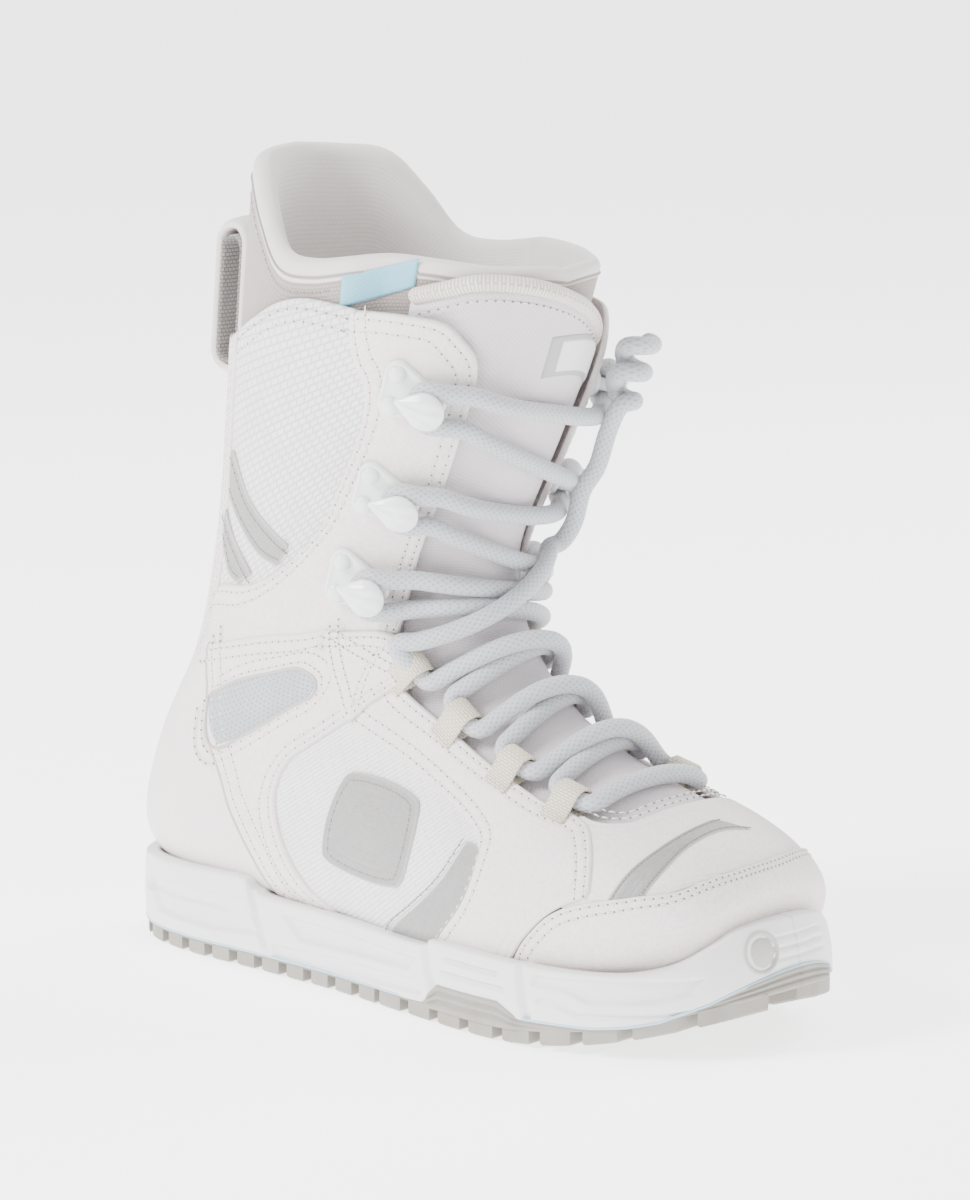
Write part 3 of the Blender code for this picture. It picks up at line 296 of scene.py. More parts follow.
def settle(piece, *nodes):
    """Lets a piece follow the foot or the cuff, in place of CAD nodes; a piece across the bend between them is left
    in place.
    """
    points = np.array([v.co for v in piece.data.vertices])
    along = (points - HINGE) @ LEAN
    if along.max() <= -BELOW_ANKLE:
        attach(piece, "foot")
    elif along.min() >= ABOVE_ANKLE:
        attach(piece, "cuff")
    else:
        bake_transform(piece)
    if nodes:
        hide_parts(*nodes)
    return piece


def closed_body(rings, around, at=0):
    """Faces of a body from rings of points, one after the other, capped at both ends."""
    walls = [(at + i * around + j, at + i * around + (j + 1) % around, at + (i + 1) * around + (j + 1) % around,
              at + (i + 1) * around + j) for i in range(rings - 1) for j in range(around)]
    return walls + [tuple(range(at, at + around))[::-1],
                    tuple(range(at + (rings - 1) * around, at + rings * around))]


def lay_plan(data, plan):
    """Writes the plan of the cloth, in metres for each point, to a mesh."""
    corners = np.empty(len(data.loops), np.int32)
    data.loops.foreach_get("vertex_index", corners)
    layer = data.uv_layers[0] if data.uv_layers else data.uv_layers.new(name="plan")
    layer.data.foreach_set("uv", np.asarray(plan, np.float32)[corners].ravel())


def make(name, points, faces, skins, plan=None, edge=None, which=None):
    """Object from points and faces, with a plan of the cloth in metres and distances to its edge."""
    data = bpy.data.meshes.new(name)
    data.from_pydata(np.asarray(points).tolist(), [], [tuple(int(k) for k in f) for f in faces])
    data.polygons.foreach_set("use_smooth", np.ones(len(data.polygons), bool))
    if plan is not None:
        lay_plan(data, plan)
    if edge is not None:
        data.attributes.new("edge", 'FLOAT', 'POINT').data.foreach_set("value", np.asarray(edge, np.float32))
    for skin in skins if isinstance(skins, (list, tuple)) else [skins]:
        data.materials.append(skin)
    if which is not None:
        data.polygons.foreach_set("material_index", np.asarray(which, np.int32))
    data.update()
    made = bpy.data.objects.new(name, data)
    bpy.context.scene.collection.objects.link(made)
    return made


# ---------------------------------------------------------------- outsole
# Two halves of grey carbon rubber, pressed with angled lugs on both sides of a centre groove.
# The rubber wraps up at the arch and over the toe, and is bonded under the midsole.
SOLE_OUTLINE = [(0, 0), (4, -19), (17, -34), (45, -42), (85, -44), (125, -47), (165, -53), (205, -58),
                (238, -56), (265, -46), (284, -26), (292, 2), (288, 27), (270, 46), (240, 53.5), (205, 54),
                (165, 46.5), (125, 43), (85, 42.5), (45, 41), (17, 33), (4, 19)]
STATIONS = 330


def sole_halves():
    """Points and outward normals along both sides of the sole, from the heel to the toe, in mm."""
    ring = np.array(SOLE_OUTLINE, float)
    dense = smooth_rows(np.vstack([ring[-2:], ring, ring[:3]]), np.linspace(2, len(ring) + 2, 3001))[:-1]
    heel, toe = int(dense[:, 0].argmin()), int(dense[:, 0].argmax())
    dense = np.roll(dense, -heel, axis=0)
    toe = (toe - heel) % len(dense)
    lateral = by_length(dense[:toe + 1], STATIONS)
    medial = by_length(np.vstack([dense[toe:], dense[:1]])[::-1], STATIONS)
    found = []
    for line, side in ((lateral, 1), (medial, -1)):
        run = np.gradient(line, axis=0)
        run[0] = (0, -side)
        run[-1] = (0, side)
        run /= np.linalg.norm(run, axis=1, keepdims=True)
        found.append((line, np.stack([run[:, 1], -run[:, 0]], -1) * side))
    return found


HALVES = sole_halves()
LUG_DEPTH = 5.2
CENTRE_GROOVE = 8.0


def ground(x):
    """Height of the lug bottoms: bevelled at the heel, sprung at the toe."""
    return 16 * np.clip((x - 205) / 88, 0, 1) ** 2 + 4 * np.clip((22 - x) / 22, 0, 1) ** 2


def rubber_top(x):
    """Height to which the grey rubber shows on the side: low, up at the arch, over the toe."""
    return np.interp(x, (0, 20, 165, 174, 183, 213, 222, 250, 262, 271, 282, 290, 293),
                     (8.2, 6.0, 6.0, 6.4, 14, 14, 9.4, 9.8, 11.2, 13.4, 19, 25.5, 28.5))


def loft(name, sections, skins, plan=True, which=None):
    """Closed body from cross-sections of equal count, one after the other, capped at both ends."""
    sections = np.asarray(sections, float)
    count, around = sections.shape[:2]
    faces = closed_body(count, around)
    points = sections.reshape(-1, 3)
    centre = sections.mean(axis=1)
    corners = points[list(faces[(count // 2) * around])]
    facing = np.cross(corners[1] - corners[0], corners[2] - corners[0])
    if facing @ (corners.mean(axis=0) - centre[count // 2]) < 0:
        faces = [face[::-1] for face in faces]
    flat = None
    if plan:
        steps = np.concatenate([[0], np.cumsum(np.linalg.norm(np.diff(centre, axis=0), axis=1))])
        flat = np.stack([np.tile(np.linspace(0, 0.06, around), count), np.repeat(steps, around)], -1)
    return make(name, points, faces, skins, flat, which=which)


def carbon_rubber():
    """Pressed grey rubber: matt, faintly mottled, with the fine pitting that a mould leaves."""
    skin, shader = new_skin("pressed_carbon_rubber", 0.72, Specular_IOR_Level=0.35)
    place = add(skin, "TexCoord").outputs["Object"]
    mottle = noise(skin, place, 90.0, 4.0)
    pits = noise(skin, place, 1600.0, 2.0)
    tint = blend(skin, mottle, "#86827B", "#9F9B94")
    bump = add(skin, "Bump", {"Height": pits, "Strength": 0.35, "Distance": 0.0003})
    return finished(skin, shader, tint, bump)


RUBBER = carbon_rubber()


def sole_plate(name, start, end, nodes):
    """Plate of one half of the outsole, with its side wrap and its lugs."""
    sections = []
    for i in range(STATIONS):
        row = []
        if not start <= HALVES[0][0][i, 0] <= end:
            continue
        for (line, normal), side in zip(HALVES, (1, -1)):
            x, y = line[i]
            low = ground(x) + LUG_DEPTH - 0.6
            top = max(rubber_top(x) + 0.6, low + 1.6)
            wrap = float(np.clip((rubber_top(x) - ground(x) - 7.5) / 2.5, 0, 1)) * 1.3
            levels = np.array([0, 0.04, 0.12, 0.3, 0.34, 0.42, 0.46, 0.6, 0.64, 0.72, 0.76, 0.94, 1])
            insets = np.array([1.2, 0.5, 0.1, 0, -0.55, -0.55, 0, 0, -0.55, -0.55, 0, 0, 1.6])
            depth = 0.9 - wrap + np.where(insets < 0, insets * -wrap, insets)
            side_points = [(x - normal[i, 0] * d, y - normal[i, 1] * d, low + (top - low) * t)
                           for d, t in zip(depth, levels)]
            deep = [(x - normal[i, 0] * 6, y - normal[i, 1] * 6, low + (top - low) * 0.9)]
            row += (side_points + deep) if side > 0 else (side_points + deep)[::-1]
        sections.append(np.array(row) * MM + HERE)
    plate = loft(name, sections, RUBBER)
    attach(plate, "foot")
    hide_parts(*nodes)


def lugs(name, start, end, count, long):
    """Lugs of one half, chamfered, leaning a little forward towards the centre groove."""
    points, faces = [], []
    pitch = (end - start - long) / (count - 1)
    for line, _ in HALVES:
        side = -1 if line[STATIONS // 2, 1] < 0 else 1
        for k in range(count):
            x = np.linspace(start + k * pitch, start + k * pitch + long, 5)
            outer = np.interp(x, line[:, 0], line[:, 1] * side) - 0.9
            if outer.max() < CENTRE_GROOVE + 4:
                continue
            outer = np.maximum(outer, CENTRE_GROOVE + 1)
            rows = []
            for share, rise in ((0.90, 0.0), (1.0, 0.75), (1.0, LUG_DEPTH + 0.4)):
                middle = x.mean()
                xs = middle + (x - middle) * share
                low_cut = 0.7 * (1 - share) / 0.1
                outside = np.stack([xs, (outer - low_cut) * side, ground(xs) + rise], -1)
                slant = np.clip((x - start) / 20, 0.3, 1) * 1.6
                inside = np.stack([xs - slant, np.full(5, (CENTRE_GROOVE + low_cut) * side),
                                   ground(xs) + rise], -1)[::-1]
                rows.append(np.vstack([outside, inside]))
            at = len(points)
            for row in rows:
                points += list(row)
            lug = closed_body(3, 10, at)
            faces += [face[::-1] for face in lug] if side > 0 else lug
    made = make(name, np.array(points) * MM + HERE, faces, RUBBER)
    made.data.polygons.foreach_set("use_smooth", np.zeros(len(made.data.polygons), bool))
    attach(made, "foot")
    return made


sole_plate("outsole_heel_plate", -5, 147, ["outsole_heel"])
lugs("outsole_heel_lugs", 6, 147, 11, 8.8)
sole_plate("outsole_forefoot_plate", 150, 300, ["outsole_forefoot"])
lugs("outsole_forefoot_lugs", 150, 291, 9, 11.5)

# ---------------------------------------------------------------- midsole
# One moulded block of white EVA foam. Its side wall carries raised frames and recesses, stepped
# along the length, and rises into a toe bumper. The upper is cemented into its cup.
RIM = ((-8, 31.5), (30, 32), (60, 32.8), (76, 32.6), (84, 28), (128, 27), (172, 26.4), (180, 29),
       (222, 28.4), (250, 28.4), (268, 30), (277, 33), (284, 38.5), (289, 43), (300, 46))
RECESSES = (  # outline (x, z) and depth
    (((21, 23.6), (50, 24.6), (72, 25), (83, 13.5), (60, 11.6), (27, 12.2)), 1.5),
    (((17, 20.9), (68, 20.4), (68, 18.9), (17, 19.2)), 2.4),
    (((76.5, 34), (79.4, 34), (90.5, 8), (87.0, 8)), 1.8),
    (((98, 22.8), (170, 20.9), (167, 16.9), (107, 15.2)), 1.5),
    (((92, 11.2), (172, 13.8), (174, 9), (92, 6)), 1.2),
    (((173.5, 30), (176.5, 30), (182.4, 12), (179, 12)), 1.7),
    (((188, 24.6), (213, 24.2), (213, 22.9), (188, 23.3)), 1.5),
    (((186, 19.7), (216, 19.4), (216, 18.1), (186, 18.4)), 1.5),
    (((221, 32), (223.6, 32), (228, 8), (225, 8)), 1.7),
    (((229, 25.4), (281, 28.3), (279, 23.4), (271, 20.4), (250, 18.6), (240, 22.2), (229, 22.2)), 1.3),
    (((231, 18.2), (238, 18.2), (246, 15.0), (281, 17.5), (281, 15.9), (246, 13.4), (237, 16.6), (231, 16.6)), 1.1),
)


def inside(points, outline):
    """Which points lie inside a closed outline."""
    found = np.zeros(len(points), bool)
    for (x0, y0), (x1, y1) in zip(outline, np.roll(outline, -1, axis=0)):
        if y0 == y1:
            continue
        spans = (points[:, 1] < y0) != (points[:, 1] < y1)
        found ^= spans & (points[:, 0] < x0 + (points[:, 1] - y0) * (x1 - x0) / (y1 - y0))
    return found


def to_outline(points, outline):
    """Distance from points to a closed outline."""
    nearest = np.full(len(points), 1e9)
    for start, end in zip(outline, np.roll(outline, -1, axis=0)):
        run = end - start
        t = np.clip(((points - start) @ run) / max(run @ run, 1e-12), 0, 1)
        nearest = np.minimum(nearest, np.linalg.norm(points - start - t[:, None] * run, axis=1))
    return nearest


def carved(points, soft=0.55):
    """Depth of the recesses at points (x, z) of the side wall."""
    depth = np.zeros(len(points))
    for outline, deep in RECESSES:
        outline = np.array(outline, float)
        signed = to_outline(points, outline) * np.where(inside(points, outline), 1, -1)
        share = np.clip(0.5 + signed / (2 * soft), 0, 1)
        depth = np.maximum(depth, deep * share * share * (3 - 2 * share))
    return depth


def foam_rubber():
    """Moulded EVA foam: satin white skin, very fine closed cells, a little light let in."""
    skin, shader = new_skin("moulded_eva_foam", 0.48, Subsurface_Weight=0.06, Subsurface_Scale=0.002)
    place = add(skin, "TexCoord").outputs["Object"]
    cells = noise(skin, place, 1400.0, 3.0)
    cloud = noise(skin, place, 30.0, 3.0)
    tint = blend(skin, cloud, "#DCD9D9", "#E8E5E5")
    bump = add(skin, "Bump", {"Height": cells, "Strength": 0.16, "Distance": 0.0002})
    return finished(skin, shader, tint, bump)


FOAM = foam_rubber()
WALL_ROWS = 34


def midsole():
    """Body of the midsole, lofted from heel to toe."""
    rim = smooth_rows(RIM, np.linspace(0, len(RIM) - 1, 400))
    rows = []
    for (line, normal), side in zip(HALVES, (1, -1)):
        x, y = line[:, 0], line[:, 1]
        top = np.interp(x, rim[:, 0], rim[:, 1])
        low = np.maximum(rubber_top(x), ground(x) + LUG_DEPTH)
        toe = np.clip((x - 262) / 30, 0, 1)
        walls = []
        for t in np.linspace(0, 1, WALL_ROWS):
            z = low + (top - 1.3 - low) * t
            lean = 4.5 * toe * np.clip((z - 22) / 22, 0, 1) ** 1.3 - 0.5 * math.sin(math.pi * t)
            grooves = np.zeros(len(x))
            for level in (31.5, 35.0, 38.5):
                near = np.clip(1 - np.abs(z - level) / 0.9, 0, 1)
                span = np.clip((x - 289.0) / 1.6, 0, 1) * np.clip((y + 9) / 3, 0, 1) * np.clip((25 - y) / 4, 0, 1)
                grooves += 1.1 * near * span
            inset = carved(np.stack([x, z], -1)) + lean + grooves
            walls.append((inset, z))
        lip = walls[-1][0]
        for out, rise in ((0.15, 0.75), (0.6, 1.15), (1.3, 1.3), (4.0, 1.2)):
            walls.append((lip + out, top - 1.3 + rise))
        reach = 6.5 + 5.5 * toe - 1.5 * np.clip((30 - x) / 30, 0, 1)
        walls.append((lip + reach, top - 0.3))
        walls.append((lip + reach + 0.5, ground(x) + 15))
        walls.insert(0, (np.full(len(x), 0.9), low - 0.4))
        walls.insert(0, (np.full(len(x), 7.0), low - 0.4))
        stack = [np.stack([x - normal[:, 0] * d, y - normal[:, 1] * d, z], -1) for d, z in walls]
        rows += stack if side > 0 else stack[::-1]
    return loft("midsole_block", np.stack(rows, 1) * MM + HERE, FOAM)


block = midsole()
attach(block, "foot")
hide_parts("midsole")


def frames_along(path):
    """Two directions across a path at each of its points, turning as little as they can."""
    run = np.gradient(path, axis=0)
    run /= np.maximum(np.linalg.norm(run, axis=1, keepdims=True), 1e-12)
    side = np.cross(run[0], (0, 0, 1) if abs(run[0][2]) < 0.9 else (1, 0, 0))
    sides = []
    for step in run:
        side = side - step * (side @ step)
        side = side / np.linalg.norm(side)
        sides.append(side)
    sides = np.array(sides)
    return sides, np.cross(run, sides)


def tube(name, path, radius, skins, sides=12):
    """Closed round cord or bead along a path, in metres, with round ends."""
    path = np.asarray(path, float)
    first, second = frames_along(path)
    radii = np.broadcast_to(np.asarray(radius, float), (len(path),)).copy()
    step = np.linalg.norm(np.diff(path, axis=0), axis=1)
    run = np.concatenate([[0], np.cumsum(step)])
    ends = np.minimum(run, run[-1] - run)
    radii *= np.sqrt(np.clip(1 - (1 - np.clip(ends / radii.max(), 0.02, 1)) ** 2, 0.05, 1))
    angle = np.linspace(0, 2 * math.pi, sides, endpoint=False)
    rings = (path[:, None] + first[:, None] * np.cos(angle)[None, :, None] * radii[:, None, None]
             + second[:, None] * np.sin(angle)[None, :, None] * radii[:, None, None])
    made = loft(name, rings, skins)
    flat = np.stack([np.tile(np.abs(angle / math.pi - 1) * math.pi * radii.max(), len(path)),
                     np.repeat(run, sides)], -1)
    lay_plan(made.data, flat)
    return made


def sole_line(first, last, level, out):
    """Path along the sole wall between two x on the lateral side, going round the toe or heel."""
    path = []
    for (line, normal), flip in zip(HALVES, (False, True)):
        x = line[:, 0]
        keep = (x >= first) & (x <= last)
        points = np.column_stack([line[keep] + normal[keep] * out, level(x[keep])])
        path.append(points[::-1] if flip else points)
    if first < 5:
        path = [path[0][::-1], path[1][::-1]]
    return np.vstack([path[0], path[1][1:]]) * MM + HERE


def coloured_bead():
    """Pale blue line of EVA moulded in along the bottom edge of the midsole; satin."""
    skin, shader = new_skin("pale_blue_eva", 0.5)
    place = add(skin, "TexCoord").outputs["Object"]
    cloud = noise(skin, place, 120.0)
    tint = blend(skin, cloud, "#9FBCCB", "#B3CDD9")
    return finished(skin, shader, tint)


BEAD = coloured_bead()
for name, first, last in (("pinstripe_heel", -5, 163), ("pinstripe_forefoot", 223, 300)):
    bead = tube(name, sole_line(first, last, lambda x: rubber_top(x) + 0.3, -0.25), 0.55 * MM, BEAD, 8)
    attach(bead, "foot")

# ---------------------------------------------------------------- toe badge
# Plain round disc of grey rubber pressed into the toe bumper, with a raised ring and a dome.
BADGE_AT = np.array((290.6, -10.5))


def turned(name, profile, place, skins, count=40):
    """Round solid from a profile (radius, height) in mm, closed on its axis."""
    angle = np.linspace(0, 2 * math.pi, count, endpoint=False)
    points = [(r * math.cos(t), r * math.sin(t), z) for r, z in profile for t in angle]
    made = make(name, np.array(points) * MM, closed_body(len(profile), count), skins)
    made.data.transform(place)
    return made


def badge_rubber():
    """Soft PVC badge: even light grey, low gloss, faint mould grain."""
    skin, shader = new_skin("soft_pvc_badge", 0.45)
    place = add(skin, "TexCoord").outputs["Object"]
    grain = noise(skin, place, 1500.0)
    tint = blend(skin, grain, "#A7A5A3", "#B9B7B5")
    bump = add(skin, "Bump", {"Height": grain, "Strength": 0.2, "Distance": 0.0002})
    return finished(skin, shader, tint, bump)


line, normal = HALVES[0]
k = int(np.argmin(np.linalg.norm(line - BADGE_AT, axis=1)))
facing = Vector((normal[k, 0], normal[k, 1], 0.22)).normalized()
seat = Vector(np.append(line[k] - normal[k] * 2.6, 34.5) * MM + HERE)
badge_place = Matrix.Translation(seat) @ facing.to_track_quat('Z', 'Y').to_matrix().to_4x4()
PROFILE = ((7.4, -2.5), (7.4, 0.9), (7.1, 1.3), (6.6, 1.4), (6.1, 1.1), (5.9, 0.7), (5.2, 0.7), (4.9, 0.9),
           (3.5, 1.25), (2.0, 1.45), (0.5, 1.5))
badge = turned("toe_badge_disc", PROFILE, badge_place, badge_rubber())
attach(badge, "foot")
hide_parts("toe_badge")


# ---------------------------------------------------------------- materials of the upper
# Coated synthetic leather: off-white polyurethane skin pressed with a pebble grain, satin.
EDGE_ROWS = (1.7, 4.5)  # mm from a turned edge to its two rows of stitches


def synthetic_leather(name, grain, depth, pale, deep, roughness):
    """Grained polyurethane skin; grain is the pebble size in mm, drawn a third coarser to show."""
    skin, shader = new_skin(name, roughness, Specular_IOR_Level=0.42, Subsurface_Weight=0.04,
                            Subsurface_Scale=0.0015)
    place = add(skin, "TexCoord").outputs["Object"]
    wander = add(skin, "TexNoise", {"Vector": place, "Scale": 260.0, "Detail": 2.0}).outputs["Color"]
    shifted = add(skin, "Mix", {0: 0.0012, 6: place, 7: wander}, data_type='RGBA', blend_type='ADD').outputs[2]
    pebbles = add(skin, "TexVoronoi", {"Vector": shifted, "Scale": 1000 / (grain * 1.35), "Smoothness": 0.35},
                  feature='SMOOTH_F1').outputs["Distance"]
    creases = noise(skin, place, 420.0, 5.0)
    cloud = noise(skin, place, 22.0, 3.0)
    mix = add(skin, "Math", {0: pebbles, 1: 0.75}, operation='MULTIPLY').outputs[0]
    height = add(skin, "Math", {0: creases, 1: 0.7, 2: mix}, operation='MULTIPLY_ADD').outputs[0]
    edge = add(skin, "Attribute", attribute_name="edge").outputs["Fac"]
    groove = height
    for row in EDGE_ROWS:
        off = add(skin, "Math", {0: edge, 1: row}, operation='SUBTRACT').outputs[0]
        off = add(skin, "Math", {0: off}, operation='ABSOLUTE').outputs[0]
        dip = add(skin, "MapRange", {0: off, 1: 0.0, 2: 0.9, 3: -1.6, 4: 0.0}, interpolation_type='SMOOTHSTEP')
        groove = add(skin, "Math", {0: groove, 1: dip.outputs[0]}, operation='ADD').outputs[0]
    bump = add(skin, "Bump", {"Height": groove, "Strength": 0.55, "Distance": depth * MM})
    shade = add(skin, "MapRange", {0: height, 1: 0.35, 2: 0.85}).outputs[0]
    tint = blend(skin, shade, deep, pale)
    soft = add(skin, "MapRange", {0: cloud, 1: 0.3, 2: 0.7, 3: 0.0, 4: 0.35}).outputs[0]
    tint = blend(skin, soft, tint, deep)
    # Painted shade along the rolled edge: within 0.7 mm of a panel's outline the colour is drawn up to halfway
    # towards a fixed pale grey, which darkens the white leathers where the edge turns down into the seam (and
    # lightens the grey one).
    cut = add(skin, "MapRange", {0: edge, 1: 0.05, 2: 0.7, 3: 0.5, 4: 0.0}).outputs[0]
    tint = blend(skin, cut, tint, "#CFC9C6")
    return finished(skin, shader, tint, bump)


LEATHER = synthetic_leather("grained_pu_leather", 0.85, 0.22, "#E6DFDD", "#D8CFCD", 0.5)
SMOOTH_LEATHER = synthetic_leather("smooth_pu_leather", 0.6, 0.10, "#E6E0DE", "#DCD5D3", 0.46)
GREY_LEATHER = synthetic_leather("grey_pu_leather", 0.6, 0.10, "#949291", "#868483", 0.44)


def woven(name, pale, deep, across, along, depth, roughness, turn=0.0, sheen=0.25, offset=0.5, gap=0.22):
    """Cloth of raised cells, across by along in mm, in rows; turn slants the rows of a twill."""
    skin, shader = new_skin(name, roughness, Sheen_Weight=sheen, Sheen_Roughness=0.5, Specular_IOR_Level=0.25)
    plan = add(skin, "TexCoord").outputs["UV"]
    turned_plan = add(skin, "Mapping", {"Vector": plan, "Rotation": (0, 0, math.radians(turn))}).outputs[0]
    cells = add(skin, "TexBrick", {"Vector": turned_plan, "Scale": 1.0, "Mortar Size": gap * min(across, along) * MM,
                                   "Mortar Smooth": 1.0, "Brick Width": across * MM, "Row Height": along * MM,
                                   "Color1": (1, 1, 1, 1), "Color2": (0.86, 0.86, 0.86, 1),
                                   "Mortar": (0, 0, 0, 1)}, offset=offset)
    place = add(skin, "TexCoord").outputs["Object"]
    fuzz = noise(skin, place, 2200.0, 2.0)
    cloud = noise(skin, place, 60.0, 4.0)
    height = add(skin, "Math", {0: fuzz, 1: 0.35, 2: cells.outputs["Color"]}, operation='MULTIPLY_ADD').outputs[0]
    bump = add(skin, "Bump", {"Height": height, "Strength": 0.6, "Distance": depth * MM})
    tint = blend(skin, cells.outputs["Color"], deep, pale)
    soft = add(skin, "MapRange", {0: cloud, 1: 0.35, 2: 0.7, 3: 0.0, 4: 0.3}).outputs[0]
    tint = blend(skin, soft, tint, deep)
    return finished(skin, shader, tint, bump)


# Nylon twill: fine diagonal ribs 0.9 mm apart, drawn at 1.3 mm so that they show.
TWILL = woven("nylon_twill", "#E9E6E9", "#CCC7CC", 7.0, 1.3, 0.22, 0.7, turn=28)
# Ballistic mesh: plump cells in level ribs 1.7 mm apart.
RIBBED_MESH = woven("ribbed_nylon_mesh", "#E9E6E8", "#C4C0C2", 2.3, 1.7, 0.40, 0.72)
# Silver-grey sports mesh: small cells with a faint metallic yarn.
SILVER_MESH = woven("silver_grey_mesh", "#B9BDC1", "#84888D", 2.0, 1.2, 0.34, 0.5, turn=-20)


def thread_skin(name, colour):
    """Bonded polyester thread: round, faintly glossy."""
    skin, shader = new_skin(name, 0.55, Sheen_Weight=0.2)
    place = add(skin, "TexCoord").outputs["Object"]
    twist = noise(skin, place, 1800.0)
    shade = [c * 0.86 for c in linear(colour)[:3]] + [1.0]
    tint = blend(skin, twist, shade, colour)
    return finished(skin, shader, tint)


WHITE_THREAD = thread_skin("white_polyester_thread", "#E2DCDA")
GREY_THREAD = thread_skin("grey_polyester_thread", "#7C7876")
# Dark discs at the needle holes: painted shade of the holes.
NEEDLE_HOLE_SHADE = thread_skin("shaded_needle_hole", "#756C68")
FINE = (GREY_THREAD, 2.6, 1.8, 0.24)  # grey thread, with the pitch, length and radius of its stitches in mm


def panel(name, outline, skin, out=0.0, thick=1.8, rounded=0.9, step=2.2, puff=0.0, wide=12.0, turn=(1, 1)):
    """Cut piece of the upper: a closed body over an outline of (section, place) pairs, with a
    rolled edge, lying some millimetres out on the last."""
    flat = np.asarray(outline, float) * FLAT
    loop = np.vstack([flat, flat[:1]])
    length = np.linalg.norm(np.diff(loop, axis=0), axis=1).sum()
    loop = by_length(loop, max(12, int(length / 1.5)))[:-1]
    area = 0.5 * np.sum(loop[:, 0] * np.roll(loop[:, 1], -1) - loop[:, 1] * np.roll(loop[:, 0], -1))
    if area < 0:
        loop = loop[::-1]
    run = np.roll(loop, -1, axis=0) - np.roll(loop, 1, axis=0)
    run /= np.linalg.norm(run, axis=1, keepdims=True)
    inward = np.stack([-run[:, 1], run[:, 0]], -1)
    points = [loop]
    for d in (0.3, 0.7, 1.3, 2.2):
        ring = loop + inward * d
        points.append(ring[inside(ring, loop) & (to_outline(ring, loop) > 0.93 * d)])
    low, high = loop.min(axis=0), loop.max(axis=0)
    u, w = np.meshgrid(np.arange(low[0], high[0], step), np.arange(low[1], high[1], step))
    w[:, ::2] += step / 2
    grid = np.stack([u.ravel(), w.ravel()], -1)
    grid = grid[inside(grid, loop)]
    points.append(grid[to_outline(grid, loop) > 2.2 + 0.5 * step])
    points = np.vstack(points)
    count = len(loop)
    made = delaunay_2d_cdt([Vector(p) for p in points], [(i, (i + 1) % count) for i in range(count)], [], 0, 1e-6)
    points = np.array([tuple(p) for p in made[0]])
    faces = np.array([f for f in made[2] if len(f) == 3])
    middles = points[faces].mean(axis=1)
    faces = faces[inside(middles, loop)]
    used = np.unique(faces)
    again = np.full(len(points), -1)
    again[used] = np.arange(len(used))
    points, faces = points[used], again[faces]
    edge = to_outline(points, loop)
    rise = -rounded * (1 - np.sqrt(np.clip(1 - (1 - np.clip(edge / rounded, 0, 1)) ** 2, 0, 1)))
    rise = rise + puff * (1 - np.exp(-edge / wide))
    v, a = (points / FLAT).T
    top = form(v, a, out + rise)
    bottom = form(v, a, out - thick)
    pairs = np.vstack([faces[:, [0, 1]], faces[:, [1, 2]], faces[:, [2, 0]]])
    keys = {(int(p), int(q)) for p, q in pairs}
    sides = [(q, p, p + len(points), q + len(points)) for p, q in keys if (q, p) not in keys]
    every = [tuple(f) for f in faces] + [tuple(f[::-1] + len(points)) for f in faces] + sorted(sides)
    corners = top[faces[0]]
    if np.cross(corners[1] - corners[0], corners[2] - corners[0]) @ outward(v[faces[0][0]], a[faces[0][0]]) < 0:
        every = [f[::-1] for f in every]
    plan = np.tile(np.stack([points[:, 1] * turn[0], points[:, 0] * turn[1]], -1) * MM, (2, 1))
    return make(name, np.vstack([top, bottom]), every, skin, plan, np.tile(edge, 2))


def sew(name, rows, out, thread=None, pitch=3.0, long=2.1, radius=0.30):
    """Rows of stitches: sunk thread between needle holes, along lines of (section, place) pairs."""
    points, faces, which = [], [], []
    for row in rows:
        line = np.asarray(row, float) * FLAT
        length = np.linalg.norm(np.diff(line, axis=0), axis=1).sum()
        count = int(length / pitch)
        if count < 1:
            continue
        fine = by_length(line, count * 10 + 1)
        for k in range(count):
            t = k * 10 + np.linspace(0.5, 0.5 + long / pitch * 10, 5)
            spots = np.stack([np.interp(t, np.arange(len(fine)), fine[:, j]) for j in (0, 1)], -1) / FLAT
            centre = form(spots[:, 0], spots[:, 1], out + np.array((-0.22, 0.06, 0.12, 0.06, -0.22)))
            run = centre[4] - centre[0]
            run /= np.linalg.norm(run)
            up = outward(spots[2, 0], spots[2, 1])
            side = np.cross(run, up)
            at = len(points)
            for p, r in zip(centre, np.array((0.5, 0.95, 1.0, 0.95, 0.5)) * radius * MM):
                points += [p + side * math.cos(q) * r + up * math.sin(q) * r * 0.8
                           for q in np.linspace(0, 2 * math.pi, 7)[:-1]]
            faces += closed_body(5, 6, at)
            which += [0] * 26
            # A dark disc at the far end of each stitch: painted shade of its needle hole.
            at = len(points)
            hole = form(spots[4, 0], spots[4, 1], out) + run * 0.45 * MM
            for lift in (-0.3, 0.05):
                points += [hole + up * lift * MM + (side * math.cos(q) * 0.9 + run * math.sin(q)) * 0.42 * MM
                           for q in np.linspace(0, 2 * math.pi, 7)[:-1]]
            faces += closed_body(2, 6, at)
            which += [1] * 8
    return make(name, points, faces, [thread or WHITE_THREAD, NEEDLE_HOLE_SHADE], which=which)


def double(line, first=EDGE_ROWS[0], second=EDGE_ROWS[1], flip=1):
    """Two stitch rows beside a sewn edge."""
    return [beside(line, first * flip), beside(line, second * flip)]


SIDES = (("lateral", 1), ("medial", -1))


def both(line, side):
    """A line given for the lateral side, on the side wanted."""
    return np.asarray(line, float) * (1, side)


def seam(line, side, step=1.6):
    """Smooth sewn line, given for the lateral side, on the side wanted."""
    return both(sew_line(line, step), side)


